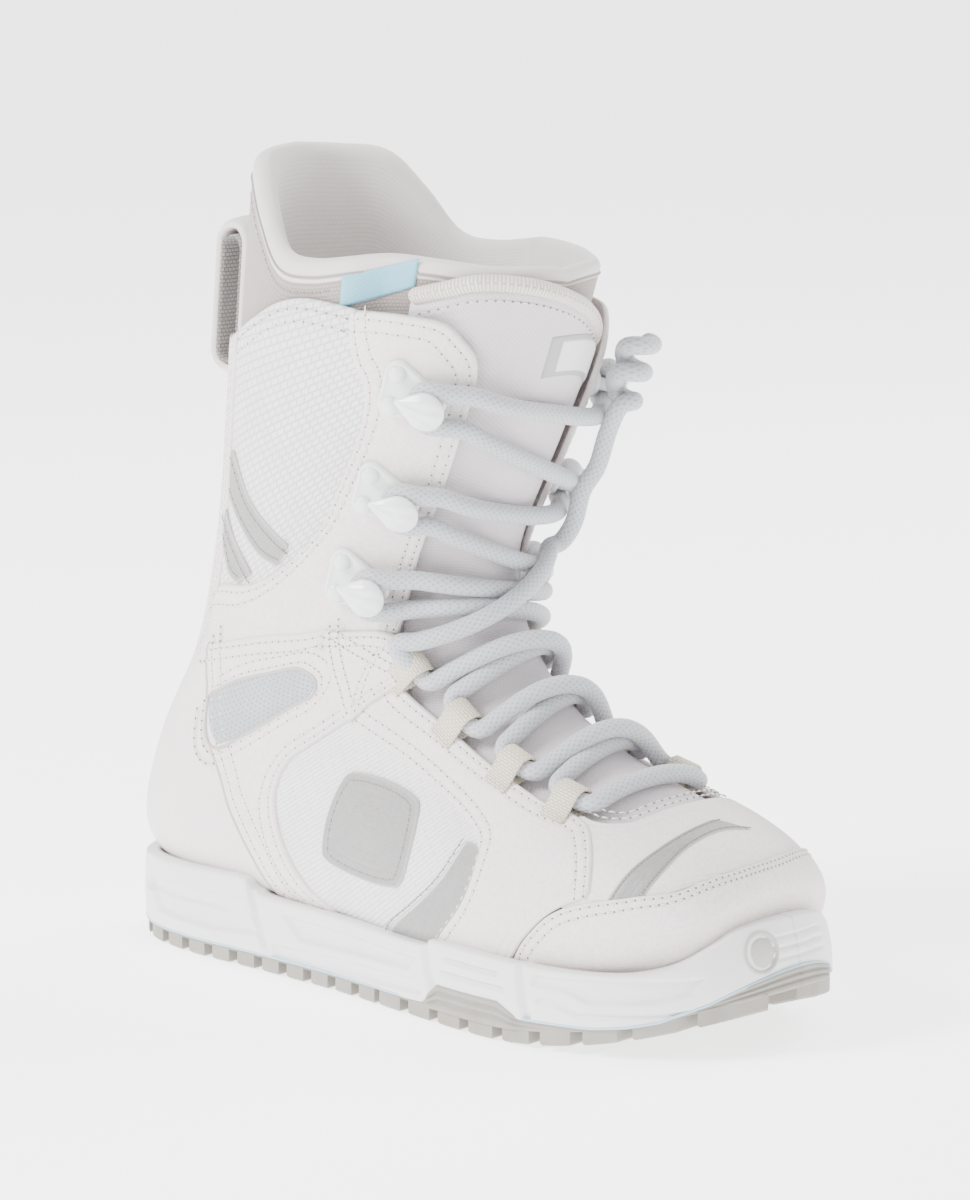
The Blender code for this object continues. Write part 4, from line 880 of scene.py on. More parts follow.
# ---------------------------------------------------------------- vamp
# Grained leather over the instep and toes, lasted under the midsole; the throat is cut round the
# tongue and turned in. A grey stripe is sewn across its lateral half.
THROAT = ((4.25, -0.235), (3.9, -0.232), (3.55, -0.19), (3.43, -0.09), (3.4, 0.0), (3.43, 0.09), (3.55, 0.19),
          (3.9, 0.232), (4.25, 0.235))
vamp_outline = border(THROAT, ((4.4, 0.29), (4.1, 0.36), (3.6, 0.47), (2.6, 0.46)),
                      ((2.0, 0.36), (1.4, 0.2), (1.25, 0.0), (1.4, -0.2), (2.0, -0.36)),
                      ((2.6, -0.46), (3.6, -0.47), (4.1, -0.36), (4.4, -0.29)))
vamp = panel("vamp_leather", vamp_outline, LEATHER, out=-0.3)
settle(vamp, "vamp")
throat = sew_line(THROAT)
settle(sew("vamp_throat_stitches", double(throat, 1.8, 4.6), -0.3))
STRIPE_BACK = ((2.97, -0.46), (2.95, -0.40), (2.92, -0.333), (2.84, -0.242), (2.82, -0.142), (2.84, -0.017))
STRIPE_FRONT = ((2.34, 0.055), (2.5, -0.042), (2.49, -0.175), (2.42, -0.292), (2.42, -0.383), (2.45, -0.46))
stripe = panel("vamp_stripe", border(STRIPE_BACK, STRIPE_FRONT), GREY_LEATHER, out=0.1, thick=1.0, rounded=0.5)
settle(stripe)
settle(sew("vamp_stripe_stitches", [beside(sew_line(STRIPE_BACK), -1.3), beside(sew_line(STRIPE_FRONT), -1.3)],
           0.1, *FINE))

# ---------------------------------------------------------------- toe cap
# Second layer of grained leather over the toe, its edge turned and sewn with two rows.
CAP_EDGE = ((4.3, -0.81), (4.08, -0.617), (3.92, -0.542), (3.67, -0.483), (3.25, -0.442), (2.58, -0.40),
            (1.92, -0.342), (1.6, -0.19), (1.55, -0.03), (1.64, 0.117), (1.95, 0.27), (2.5, 0.38), (3.25, 0.442),
            (3.67, 0.483), (3.92, 0.542), (4.08, 0.617), (4.3, 0.81))
cap = panel("toe_cap_leather", border(CAP_EDGE, ((3.0, 0.82), (1.2, 0.82), (0.12, 0.75)),
                                      ((0.05, 0.6), (0.05, 0.0), (0.05, -0.6)),
                                      ((0.12, -0.75), (1.2, -0.82), (3.0, -0.82))), LEATHER, out=0.75, step=2.0)
settle(cap, "toe_cap")
settle(sew("toe_cap_stitches", double(sew_line(CAP_EDGE), flip=-1), 0.75))

# ---------------------------------------------------------------- heel counter
# Smooth leather moulded round the heel, under the quarters; dark piping shows along its seam.
HEEL_SEAM = ((7.3, -0.835), (7.67, -0.792), (8.17, -0.733), (8.83, -0.675), (9.67, -0.633), (10.75, -0.658),
             (11.67, -0.725))
TOP_OF_HEEL = ((11.75, -0.73), (12.05, -0.85), (12.3, -1.0), (12.05, -1.15), (11.75, -1.27))
counter = panel("heel_counter_leather", border(beside(HEEL_SEAM, -1.5), TOP_OF_HEEL,
                                               beside(np.array(HEEL_SEAM)[::-1] * (1, -1) - (0, 2), -1.5),
                                               ((7.3, -1.165), (8.6, -1.08), (9.2, -1.0), (8.6, -0.92))),
                SMOOTH_LEATHER, out=0.0, puff=1.2, wide=18)
settle(counter, "heel_counter")
piping, shader = new_skin("dark_cut_edge", 0.7)
place = add(piping, "TexCoord").outputs["Object"]
finished(piping, shader, blend(piping, noise(piping, place, 500.0), "#A9A4A0", "#BDB8B4"))

# ---------------------------------------------------------------- quarters
# Each side of the foot: grained leather round a window of twill, an ankle band with a crossed
# patch, a silver mesh vent, a grey stripe and a sewn lozenge. Every edge has two stitch rows.
TWILL_BACK = ((8.17, -0.367), (8.42, -0.458), (8.58, -0.517), (8.47, -0.575), (8.17, -0.63), (7.75, -0.683),
              (7.33, -0.725), (6.9, -0.757), (6.7, -0.81))
TWILL_FRONT = ((5.7, -0.81), (5.42, -0.667), (5.17, -0.525), (5.25, -0.417), (5.42, -0.383), (6.0, -0.358),
               (7.0, -0.358), (8.2, -0.385))
FACING = ((8.15, -0.245), (7.83, -0.262), (6.75, -0.245), (5.75, -0.242), (4.75, -0.25), (4.33, -0.245))
QUARTER_FRONT = ((4.33, -0.245), (4.0, -0.258), (3.67, -0.308), (3.42, -0.367), (3.25, -0.425))
VENT = ((10.72, -0.648), (10.5, -0.55), (9.92, -0.425), (9.5, -0.39), (9.2, -0.385), (9.08, -0.405), (9.25, -0.45),
        (9.58, -0.558), (9.86, -0.625))
BAND_TOP = ((11.68, -0.728), (11.25, -0.592), (10.75, -0.467), (10.08, -0.342))
PATCH = ((10.08, -0.345), (9.4, -0.275), (8.85, -0.228), (8.4, -0.212), (8.05, -0.225), (7.92, -0.255),
         (8.08, -0.325), (8.18, -0.378), (8.75, -0.362), (9.4, -0.35))
STRIPE_LOW = ((5.42, -0.408), (5.5, -0.508), (5.75, -0.608), (6.0, -0.692), (6.15, -0.80))
for name, side in SIDES:
    window = panel(f"quarter_twill_{name}", both(border(
        ((8.5, -0.35), (7.0, -0.335), (6.0, -0.335), (5.3, -0.36), (5.02, -0.42), (4.98, -0.53), (5.2, -0.68),
         (5.4, -0.82)), ((7.1, -0.82), (7.5, -0.745), (8.4, -0.65), (8.8, -0.57), (8.8, -0.47))), side),
        TWILL, out=-0.5, puff=1.0, wide=14, turn=(side, 1))
    settle(window)
    low_stripe = panel(f"quarter_stripe_{name}", both(border(STRIPE_LOW, ((5.6, -0.81), (5.3, -0.667),
                       (5.05, -0.525), (5.15, -0.417), (5.3, -0.40))), side), GREY_LEATHER, out=1.0, thick=1.6,
                       rounded=0.5)
    settle(low_stripe)
    settle(sew(f"quarter_stripe_stitches_{name}", [beside(seam(STRIPE_LOW, side), -1.4 * side)], 1.0,
               *FINE))
    front = panel(f"quarter_front_leather_{name}", both(border(
        FACING, QUARTER_FRONT, ((3.3, -0.43), (3.67, -0.478), (3.92, -0.538), (4.1, -0.62), (4.25, -0.81)),
        TWILL_FRONT), side), LEATHER, out=0.85, thick=2.2)
    settle(front, f"quarter_{name}")
    rows = double(seam(FACING, side), flip=-side)
    rows += double(seam(QUARTER_FRONT, side), flip=-side)
    rows += double(seam(TWILL_FRONT, side), flip=-side)
    settle(sew(f"quarter_front_stitches_{name}", rows, 0.85))
    back = panel(f"quarter_back_leather_{name}", both(border(
        BAND_TOP, ((10.08, -0.342), (9.3, -0.335), (8.3, -0.352)), TWILL_BACK, HEEL_SEAM), side), LEATHER, out=1.2,
        thick=2.6)
    settle(back)
    rows = double(seam(TWILL_BACK, side), flip=-side)
    rows += double(seam(HEEL_SEAM, side), 2.2, 5.0, -side)
    rows += double(seam(BAND_TOP, side), 1.9, 4.7, -side)
    vent_line = seam(VENT + VENT[:1], side, 1.0)
    rows += double(vent_line, 1.6, 4.2, side)
    settle(sew(f"quarter_back_stitches_{name}", rows, 1.2))
    frame_line = [form(v, a, 1.3) for v, a in vent_line]
    settle(tube(f"vent_edge_{name}", frame_line, 0.55 * MM, piping, 8))
    vent = panel(f"vent_mesh_{name}", both(border(VENT), side), SILVER_MESH, out=1.4, thick=1.0, rounded=0.6)
    settle(vent)
    settle(tube(f"heel_piping_{name}", [form(v, a, 0.75) for v, a in both(beside(sew_line(HEEL_SEAM), -0.2), side)],
                0.7 * MM, piping, 8))
    patch = panel(f"ankle_patch_{name}", both(border(PATCH + PATCH[:1]), side), LEATHER, out=2.3, thick=1.6, step=1.8)
    settle(patch)
    ring = seam(PATCH + PATCH[:1], side, 1.0)
    cross = [sew_line(both(line, side)) for line in (((9.9, -0.335), (9.1, -0.3), (8.15, -0.26)),
                                                    ((8.8, -0.25), (8.6, -0.3), (8.25, -0.355)))]
    rows = double(ring, 1.6, 3.9, -side) + cross + [beside(line, 2.0) for line in cross]
    settle(sew(f"ankle_patch_stitches_{name}", rows, 2.3))
    middle = np.array((6.85, -0.52))
    lozenge = [middle + (math.sin(t) * r * 0.88, math.cos(t) * r * 0.14)
               for t in np.linspace(0, 2 * math.pi, 49)[:-1]
               for r in [1 / (abs(math.sin(t + 0.5)) ** 1.25 + abs(math.cos(t + 0.5)) ** 1.25) ** 0.8]]
    lozenge = np.array(lozenge)
    mark = panel(f"quarter_lozenge_{name}", both(lozenge, side), GREY_LEATHER, out=1.35, thick=1.4, rounded=0.6,
                 puff=0.5, wide=5)
    settle(mark)
    inner = [both(middle + (lozenge - middle) * k, side) for k in (0.86, 0.45)]
    settle(sew(f"quarter_lozenge_stitches_{name}", [np.vstack([r, r[:1]]) for r in inner], 1.5, GREY_THREAD, 2.6,
               1.8, 0.26))

# ---------------------------------------------------------------- cuff
# Two sides of grained leather with the lace hooks, a ribbed mesh panel with two grey stripes on
# each, and a strip of leather down the back. The ankle band lies over its lower edge.
CUFF_FRONT = ((8.75, -0.222), (9.08, -0.194), (9.7, -0.175), (10.5, -0.167), (11.83, -0.167), (12.58, -0.167),
              (13.08, -0.168), (13.42, -0.178), (13.75, -0.208), (14.08, -0.25), (14.33, -0.325), (14.5, -0.40),
              (14.56, -0.44))
MESH_EDGE = ((14.56, -0.44), (14.25, -0.433), (13.92, -0.415), (13.67, -0.392), (13.33, -0.383), (12.92, -0.392),
             (12.5, -0.417), (12.17, -0.44), (12.0, -0.49), (11.95, -0.55), (12.05, -0.62), (12.33, -0.725),
             (12.4, -0.775))
CUFF_LOW = ((12.2, -0.775), (11.45, -0.727), (10.95, -0.59), (10.4, -0.465), (9.8, -0.342), (9.1, -0.27))
MESH_TOP = ((14.52, -0.42), (14.66, -0.475), (14.80, -0.55), (14.83, -0.617), (14.76, -0.70), (14.68, -0.79))
STRIPES = ((((13.66, -0.755), (13.58, -0.733), (13.08, -0.667), (12.67, -0.60), (12.15, -0.512)),
            ((12.03, -0.545), (12.35, -0.61), (12.75, -0.675), (13.17, -0.742), (13.25, -0.757))),
           (((13.13, -0.768), (13.02, -0.752), (12.58, -0.683), (12.12, -0.615)),
            ((12.2, -0.672), (12.4, -0.712), (12.72, -0.752), (12.84, -0.77))))
for name, side in SIDES:
    mesh = panel(f"cuff_mesh_{name}", both(border(MESH_TOP, ((14.6, -0.80), (13.5, -0.80), (12.3, -0.80)),
                 ((12.2, -0.72), (11.8, -0.62), (11.75, -0.53), (12.0, -0.45), (12.5, -0.39), (13.3, -0.36),
                  (13.8, -0.38))), side), RIBBED_MESH, out=-1.1, puff=1.5, wide=16, thick=2.0)
    settle(mesh)
    for number, (upper, lower) in enumerate(STRIPES, 1):
        strip = panel(f"cuff_stripe_{name}_{number}", both(border(upper, lower), side), GREY_LEATHER, out=0.75,
                      thick=1.4, rounded=0.5)
        settle(strip)
        settle(sew(f"cuff_stripe_stitches_{name}_{number}",
                   [beside(seam(upper, side), -1.4 * side), beside(seam(lower, side), -1.4 * side)],
                   0.75, *FINE))
    leather = panel(f"cuff_leather_{name}", both(border(CUFF_FRONT, MESH_EDGE, CUFF_LOW), side), LEATHER, out=0.4,
                    thick=2.4)
    settle(leather, f"cuff_{name}")
    rows = double(seam(CUFF_FRONT, side), flip=side)
    rows += double(seam(MESH_EDGE, side), flip=side)
    settle(sew(f"cuff_stitches_{name}", rows, 0.4))
    top = seam(MESH_TOP, side)
    settle(sew(f"cuff_top_stitches_{name}", double(top, 2.0, 4.6, side), -0.65))
BACK_EDGE = ((14.68, -0.765), (13.6, -0.768), (12.6, -0.765), (11.65, -0.76))
back_panel = panel("cuff_back_leather", border(BACK_EDGE, ((11.65, -0.76), (11.7, -0.88), (11.7, -1.0),
                   (11.7, -1.12), (11.65, -1.24)), (np.array(BACK_EDGE) * (1, -1) - (0, 2))[::-1],
                   ((14.68, -1.235), (14.62, -1.12), (14.6, -1.0), (14.62, -0.88), (14.68, -0.765))),
                   LEATHER, out=0.2, thick=2.2)
settle(back_panel)
rows = []
for edge in (sew_line(BACK_EDGE), sew_line((np.array(BACK_EDGE) * (1, -1) - (0, 2))[::-1])):
    rows += double(edge, flip=-1)
settle(sew("cuff_back_stitches", rows, 0.2))
stay = panel("backstay_leather", border(((14.62, -0.93), (13.4, -0.945), (12.3, -0.93)),
             ((12.25, -0.95), (12.2, -1.0), (12.25, -1.05)), ((12.3, -1.07), (13.4, -1.055), (14.62, -1.07)),
             ((14.66, -1.03), (14.67, -1.0), (14.66, -0.97))), SMOOTH_LEATHER, out=1.4, thick=1.6)
settle(stay, "backstay")
settle(sew("backstay_stitches", [sew_line(((14.5, -0.945), (13.4, -0.96), (12.4, -0.948))),
                                 sew_line(((14.5, -1.055), (13.4, -1.04), (12.4, -1.052)))], 1.4))

# ---------------------------------------------------------------- tongue
# One padded tongue from under the vamp to the top of the cuff: fine knit over foam, bound with
# ribbed tape, with a blank woven label. Its pad reaches across the ankle and is left in place, on neither body.
KNIT = woven("fine_polyester_knit", "#DED8DB", "#C4BCC0", 0.9, 0.7, 0.16, 0.75, gap=0.3)
RIBBED_TAPE = woven("ribbed_binding_tape", "#E6E1D8", "#B9B0A2", 9.0, 1.25, 0.5, 0.7, gap=0.3)
TONGUE_TOP = ((14.5, -0.335), (14.47, -0.27), (14.42, -0.2), (14.2, -0.11), (13.85, 0.0), (13.5, 0.1),
              (13.38, 0.2), (13.45, 0.335))


def pad(name, v, a, face, thick, skins, edge_round=1.5, plan_turn=(1, 1)):
    """Padded sheet over a grid of (section, place): both faces meet in a rounded edge."""
    rows, columns = v.shape
    mm = np.stack([v * FLAT[0], a * FLAT[1]], -1)
    near = np.minimum.reduce([np.linalg.norm(mm - mm[:1], axis=-1), np.linalg.norm(mm - mm[-1:], axis=-1),
                              np.abs(mm[..., 1] - mm[:, :1, 1]), np.abs(mm[..., 1] - mm[:, -1:, 1])])
    share = np.sqrt(np.clip(1 - (1 - np.clip(near / edge_round, 0, 1)) ** 2, 0.0, 1))
    middle = face - thick / 2
    top = form(v, a, middle + thick / 2 * share)
    low = form(v, a, middle - thick / 2 * share - 0.02)
    count = rows * columns
    faces = [(r * columns + c, (r + 1) * columns + c, (r + 1) * columns + c + 1, r * columns + c + 1)
             for r in range(rows - 1) for c in range(columns - 1)]
    faces = faces + [tuple(k + count for k in f[::-1]) for f in faces]
    rim = ([(0, c) for c in range(columns)] + [(r, columns - 1) for r in range(1, rows)]
           + [(rows - 1, c) for c in range(columns - 2, -1, -1)] + [(r, 0) for r in range(rows - 2, 0, -1)])
    rim = [r * columns + c for r, c in rim]
    faces += [(rim[k], rim[(k + 1) % len(rim)], rim[(k + 1) % len(rim)] + count, rim[k] + count)
              for k in range(len(rim))]
    corners = top.reshape(-1, 3)[list(faces[0])]
    if np.cross(corners[1] - corners[0], corners[2] - corners[0]) @ outward(v[0, 0], a[0, 0]) < 0:
        faces = [f[::-1] for f in faces]
    plan = np.tile(np.stack([mm[..., 1].ravel() * plan_turn[0], mm[..., 0].ravel() * plan_turn[1]], -1) * MM, (2, 1))
    return make(name, np.vstack([top.reshape(-1, 3), low.reshape(-1, 3)]), faces, skins, plan)


def tongue_top(a):
    """Section that the tongue reaches at each place."""
    line = sew_line(TONGUE_TOP, 1.0)
    return np.interp(a, line[:, 1], line[:, 0])


TONGUE_FACE = -5.6
ease = np.sin(np.linspace(-math.pi / 2, math.pi / 2, 70)) * 0.335
share = np.linspace(0, 1, 190)[:, None]
a = np.repeat(ease[None], 190, axis=0)
v = 3.1 * (1 - share) + (tongue_top(ease) - 0.05)[None] * share
crown = 1.6 * np.cos(np.clip(a / 0.34, -1, 1) * math.pi / 2)
tongue = pad("tongue_pad", v, a, TONGUE_FACE + crown, 3.6, KNIT, 2.5)
settle(tongue, "tongue_lower", "tongue_upper")
edge_a = np.linspace(-0.338, 0.338, 150)
binding_path = form(tongue_top(edge_a) + 0.02, edge_a, TONGUE_FACE + 1.6 * np.cos(edge_a / 0.34 * math.pi / 2) - 1.5)
binding = tube("tongue_binding_tape", binding_path, 2.9 * MM, RIBBED_TAPE, 16)
settle(binding, "tongue_binding")
settle(sew("tongue_binding_stitches", [np.stack([tongue_top(edge_a) - 0.20, edge_a], -1)],
           TONGUE_FACE + 1.75, None, 2.2, 1.5, 0.2))
GREY_RIBBON = woven("grey_satin_ribbon", "#B0AEAD", "#989695", 1.0, 0.5, 0.08, 0.4)
PALE_SATIN = woven("pale_satin_ribbon", "#EAE9EC", "#D9D8DC", 1.0, 0.5, 0.06, 0.35)
for name, skin, low, high, left, right, lift in (
        ("tongue_label_border", GREY_RIBBON, 12.72, 13.36, -0.035, 0.20, 0.35),
        ("tongue_label_blank", PALE_SATIN, 12.80, 13.28, -0.008, 0.19, 0.75)):
    grid_a = np.linspace(left, right, 40)
    grid_v = np.linspace(0, 1, 22)[:, None]
    top_v = np.minimum(high, tongue_top(grid_a) - 0.22)
    grid_v = low * (1 - grid_v) + top_v[None] * grid_v
    grid_a = np.repeat(grid_a[None], 22, axis=0)
    label = pad(name, grid_v, grid_a, TONGUE_FACE + lift + 1.6 * np.cos(grid_a / 0.34 * math.pi / 2), 0.7, skin, 0.4)
    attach(label, "cuff")
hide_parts("tongue_label")

# ---------------------------------------------------------------- liner
# Removable padded boot inside: warm grey laminate outside, brushed plush inside, a seam just below
# the rim, and a tall padded spine behind the calf.
LINER_TOP = ((0.0, 14.12), (0.15, 14.35), (0.3, 14.75), (0.42, 14.98), (0.55, 15.05), (0.64, 15.2), (0.72, 15.62),
             (0.8, 15.95), (0.9, 16.02), (1.0, 16.05))
LINER_CLOTH = woven("grey_laminate_cloth", "#A39A97", "#877E7A", 1.0, 0.8, 0.18, 0.85, sheen=0.4, gap=0.35)
PLUSH = woven("brushed_plush_lining", "#DAD6D3", "#CBC6C3", 0.8, 0.6, 0.1, 0.95, sheen=0.7, gap=0.4)


def liner_top(a):
    """Section that the rim of the liner reaches at each place."""
    table = smooth_rows(LINER_TOP, np.linspace(0, len(LINER_TOP) - 1, 200))
    return np.interp(np.abs((a + 1) % 2 - 1), table[:, 0], table[:, 1])


def liner_depth(v, a):
    """Depth of the liner's outer face: behind the tongue or against the upper."""
    place = np.abs((a + 1) % 2 - 1)
    behind = np.clip((place - 0.39) / 0.09, 0, 1)
    out = -9.6 + 5.8 * behind * behind * (3 - 2 * behind)
    under = np.clip((place - 0.62) / 0.08, 0, 1) * np.clip((10.6 - v) / 1.0, 0, 1)
    return out * (1 - under) - 6.4 * under


def build_liner():
    """Outer face, rolled rim and inner face of the liner as one closed body."""
    around = 144
    a = np.linspace(-1, 1, around + 1)[:-1]
    top = liner_top(a)
    rings, kinds = [], []
    for s in np.linspace(0, 1, 120):
        v = 1.6 + (top - 1.6) * s
        rings.append(form(v, a, liner_depth(v, a)))
        kinds.append(0 if s < 0.985 else 1)
    thick = 3.6 + 2.4 * np.clip((14.5 - 9.5) / 3, 0, 1)
    half = thick / 2
    spine = 1 + 0.35 * np.clip((np.abs((a + 1) % 2 - 1) - 0.6) / 0.2, 0, 1)
    for turn in np.linspace(0, math.pi, 11)[1:-1]:
        out = liner_depth(top, a) - half * spine * (1 - math.cos(turn))
        rings.append(form(top + 0.12 * math.sin(turn), a, out))
        kinds.append(1)
    for s in np.linspace(1, 0, 110):
        v = 1.85 + (top - 1.85) * s
        wall = 3.6 + 2.4 * np.clip((v - 9.5) / 3, 0, 1)
        wide = 1 + 0.35 * np.clip((np.abs((a + 1) % 2 - 1) - 0.6) / 0.2, 0, 1) * np.clip((v - 13) / 1.5, 0, 1)
        rings.append(form(v, a, liner_depth(v, a) - wall * wide))
        kinds.append(1)
    points = np.array(rings)
    count = len(points)
    faces = [(i * around + j, (i + 1) * around + j, (i + 1) * around + (j + 1) % around,
              i * around + (j + 1) % around) for i in range(count - 1) for j in range(around)]
    which = [kinds[i] for i in range(count - 1) for j in range(around)]
    faces += [tuple(range(around)), tuple(range((count - 1) * around, count * around))[::-1]]
    which += [0, 1]
    corners = points.reshape(-1, 3)[list(faces[60 * around + 10])]
    v60 = 1.6 + (top[10] - 1.6) * 60 / 119
    if np.cross(corners[1] - corners[0], corners[2] - corners[0]) @ outward(v60, a[10]) < 0:
        faces = [f[::-1] for f in faces]
    v_plan = np.repeat(np.arange(count) * 2.2, around)
    plan = np.stack([np.tile(np.abs(a) * 125, count), v_plan], -1) * MM
    return make("liner_shell", points.reshape(-1, 3), faces, [LINER_CLOTH, PLUSH], plan, which=which)


liner = build_liner()
settle(liner, "liner_foot", "liner_cuff", "liner_collar")
rim_a = np.linspace(-1, 1, 300)
rim_v = liner_top(rim_a) - 0.06
cord = tube("liner_rim_cord", form(rim_v, rim_a, liner_depth(rim_v, rim_a) + 0.1), 0.5 * MM, LINER_CLOTH, 8)
settle(cord)
back_a = np.linspace(0.5, 1.5, 300)
settle(sew("liner_rim_stitches", [np.stack([liner_top(back_a) - 0.2, back_a], -1)], -3.75, GREY_THREAD, 2.4, 1.5,
           0.16))
BLUE_SATIN = woven("pale_blue_satin_ribbon", "#84BDD0", "#6BA6BA", 1.0, 0.5, 0.06, 0.38)
TEAL_SATIN = woven("teal_satin_ribbon", "#10839B", "#0A6C81", 1.0, 0.5, 0.06, 0.38)
for name, skin, low, high, left, right, face in (
        ("liner_label_blue", BLUE_SATIN, 14.62, 14.95, -0.475, -0.335, None),
        ("liner_label_teal", TEAL_SATIN, 13.95, 14.3, 0.20, 0.30, -15.2)):
    grid_a, grid_v = np.meshgrid(np.linspace(left, right, 30), np.linspace(low, high, 16))
    lie = liner_depth(grid_v, grid_a) + 0.75 if face is None else face
    label = pad(name, grid_v, grid_a, lie, 0.7, skin, 0.4)
    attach(label, "cuff")
BOARD = woven("pressed_fibre_board", "#B7AE9F", "#9A9184", 3.0, 3.0, 0.1, 0.9)
frame["nodes"]["insole_board"].data.materials.clear()
frame["nodes"]["insole_board"].data.materials.append(BOARD)
bed = panel("footbed_foam", border(((2.5, 0.98), (2.6, 0.90), (3.3, 0.87), (5.5, 0.865), (8.0, 0.87), (8.5, 0.93),
                                    (8.6, 1.0), (8.5, 1.07), (8.0, 1.13), (5.5, 1.135), (3.3, 1.13), (2.6, 1.10),
                                    (2.5, 1.02))), PLUSH, out=-12.6 + 1.6, thick=2.6)
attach(bed, "foot")
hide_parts("footbed")

# ---------------------------------------------------------------- lace loops
# Four loops a side of woven cream webbing, folded round the lace and sewn under the facing.
BASKET = woven("cream_basket_webbing", "#E2DACB", "#B3A893", 2.0, 1.0, 0.45, 0.75, gap=0.25)
LOOP_SECTIONS = (4.55, 5.6, 6.75, 8.0)
FACING_LINE = np.array(((4.1, -0.25), (4.75, -0.255), (5.75, -0.25), (6.75, -0.25), (7.8, -0.255)))
LACE = 3.3
CLEAR = 0.7
WEBBING = 1.2
TAB_FACE = -3.6
EYE = TAB_FACE + CLEAR + LACE
TONGUE_LEVEL = -5.8


def rates(v, a):
    """Metres per section and per unit of place, near a point of the last."""
    up = np.linalg.norm(form(v + 0.05, a) - form(v - 0.05, a)) / 0.1
    round_it = np.linalg.norm(form(v, a + 0.01) - form(v, a - 0.01)) / 0.02
    return up, round_it


def loop_place(section, side):
    """Place of the eye of a lace loop: just clear of the facing edge."""
    place = np.interp(section, FACING_LINE[:, 0], FACING_LINE[:, 1])
    reach = (LACE + CLEAR + WEBBING + 1.6) * MM
    return side * -(place + reach / rates(section, place)[1])


def webbing_loop(name, section, side):
    """Strip of webbing from under the facing, round the lace and back."""
    place = loop_place(section, side)
    centre = form(section, place, EYE)
    up = outward(section, place)
    along = form(section + 0.05, place) - form(section - 0.05, place)
    along = along - up * (along @ up)
    along /= np.linalg.norm(along)
    out = np.cross(up, along)
    if (form(section, side * 0.3) - centre) @ out < 0:
        out = -out
    middle = LACE + CLEAR + WEBBING / 2
    far = 11.5
    ring = [(math.cos(t) * middle, math.sin(t) * middle) for t in np.linspace(1.15, 2 * math.pi - 1.15, 30)]
    path = [(far, 0.2), (far * 0.75, 0.7), (middle + 1.2, 2.1)] + ring + [(middle + 1.2, -2.1), (far * 0.75, -1.3),
                                                                         (far, -0.9)]
    path = by_length(smooth_rows(path, np.linspace(0, len(path) - 1, 200)), 60)
    run = np.gradient(path, axis=0)
    run /= np.linalg.norm(run, axis=1, keepdims=True)
    across_it = np.stack([-run[:, 1], run[:, 0]], -1)
    half = 4.9
    shape = [(-half, -0.3), (-half + 0.35, -0.6), (0, -0.62), (half - 0.35, -0.6), (half, -0.3), (half, 0.3),
             (half - 0.35, 0.6), (0, 0.62), (-half + 0.35, 0.6), (-half, 0.3)]
    sections = []
    for p, n in zip(path, across_it):
        sections.append([centre + (out * (p[0] + n[0] * h) + up * (p[1] + n[1] * h) + along * w) * MM
                         for w, h in shape])
    made = loft(name, sections, BASKET)
    run_mm = np.concatenate([[0], np.cumsum(np.linalg.norm(np.diff(path, axis=0), axis=1))])
    flat = np.stack([np.tile([w for w, h in shape], len(path)), np.repeat(run_mm, len(shape))], -1) * MM
    lay_plan(made.data, flat)
    return made


for name, side in SIDES:
    for number, section in enumerate(LOOP_SECTIONS, 1):
        loop = webbing_loop(f"webbing_loop_{name}_{number}", section, -side)
        settle(loop, f"lace_loop_{name}_{number}")

# ---------------------------------------------------------------- lace hooks
# Three a side, moulded in clear-white nylon: a riveted plate, a neck, and a ridged drop-shaped
# hood that the lace passes under. Two domed rivets hold each one.
HOOKS = (((10.98, 0.333), (10.08, 0.238)), ((12.29, 0.333), (11.75, 0.242)), ((13.46, 0.317), (13.08, 0.242)))
PLATE = 2.0
NECK_X = 3.0 + 2 * LACE + 3.0
BEND = 2.2 + CLEAR + LACE
HOOD_LEVEL = PLATE + 2 * LACE + 2 * CLEAR
LACE_LEVEL = PLATE + CLEAR + LACE
RIVET_Y = 5.8
CUFF_LIFT = 0.7


def moulded_nylon():
    """Injection-moulded natural nylon: milky, glossy, light glows through its thin edges."""
    skin, shader = new_skin("moulded_natural_nylon", 0.22, Subsurface_Weight=0.15, Subsurface_Scale=0.002,
                            Coat_Weight=0.15, Coat_Roughness=0.2)
    place = add(skin, "TexCoord").outputs["Object"]
    flow = noise(skin, place, 160.0, 2.0)
    tint = blend(skin, flow, "#DCE1DF", "#EAEEEC")
    bump = add(skin, "Bump", {"Height": flow, "Strength": 0.08, "Distance": 0.0004})
    return finished(skin, shader, tint, bump)


NYLON = moulded_nylon()


def hook_place(index, side):
    """Placing of a hook: rivets at x = 0, the hood towards the tongue, z out of the cuff; in mm."""
    (rivet_v, rivet_a), (hood_v, hood_a) = HOOKS[index]
    z = Vector(outward((rivet_v + hood_v) / 2, side * (rivet_a + hood_a) / 2)).normalized()
    origin = Vector(form(rivet_v, side * rivet_a))
    x = Vector(form(hood_v, side * hood_a)) - origin
    x = (x - z * x.dot(z)).normalized()
    y = z.cross(x)
    if y.z < 0:
        y = -y
    place = Matrix((x, y, z)).transposed().to_4x4()
    place.translation = origin
    v, a = np.meshgrid(np.linspace(hood_v - 0.6, rivet_v + 0.6, 25), np.linspace(hood_a - 0.05, rivet_a + 0.05, 25))
    near = [place.inverted() @ Vector(p) for p in form(v, a * side).reshape(-1, 3)]
    under = [p.z for p in near if -0.005 < p.x < 0.020 and abs(p.y) < 0.011 - 0.3 * max(p.x, 0)]
    return place @ Matrix.Translation((0, 0, max(under) + 0.0004)) @ Matrix.Diagonal((MM, MM, MM, 1))


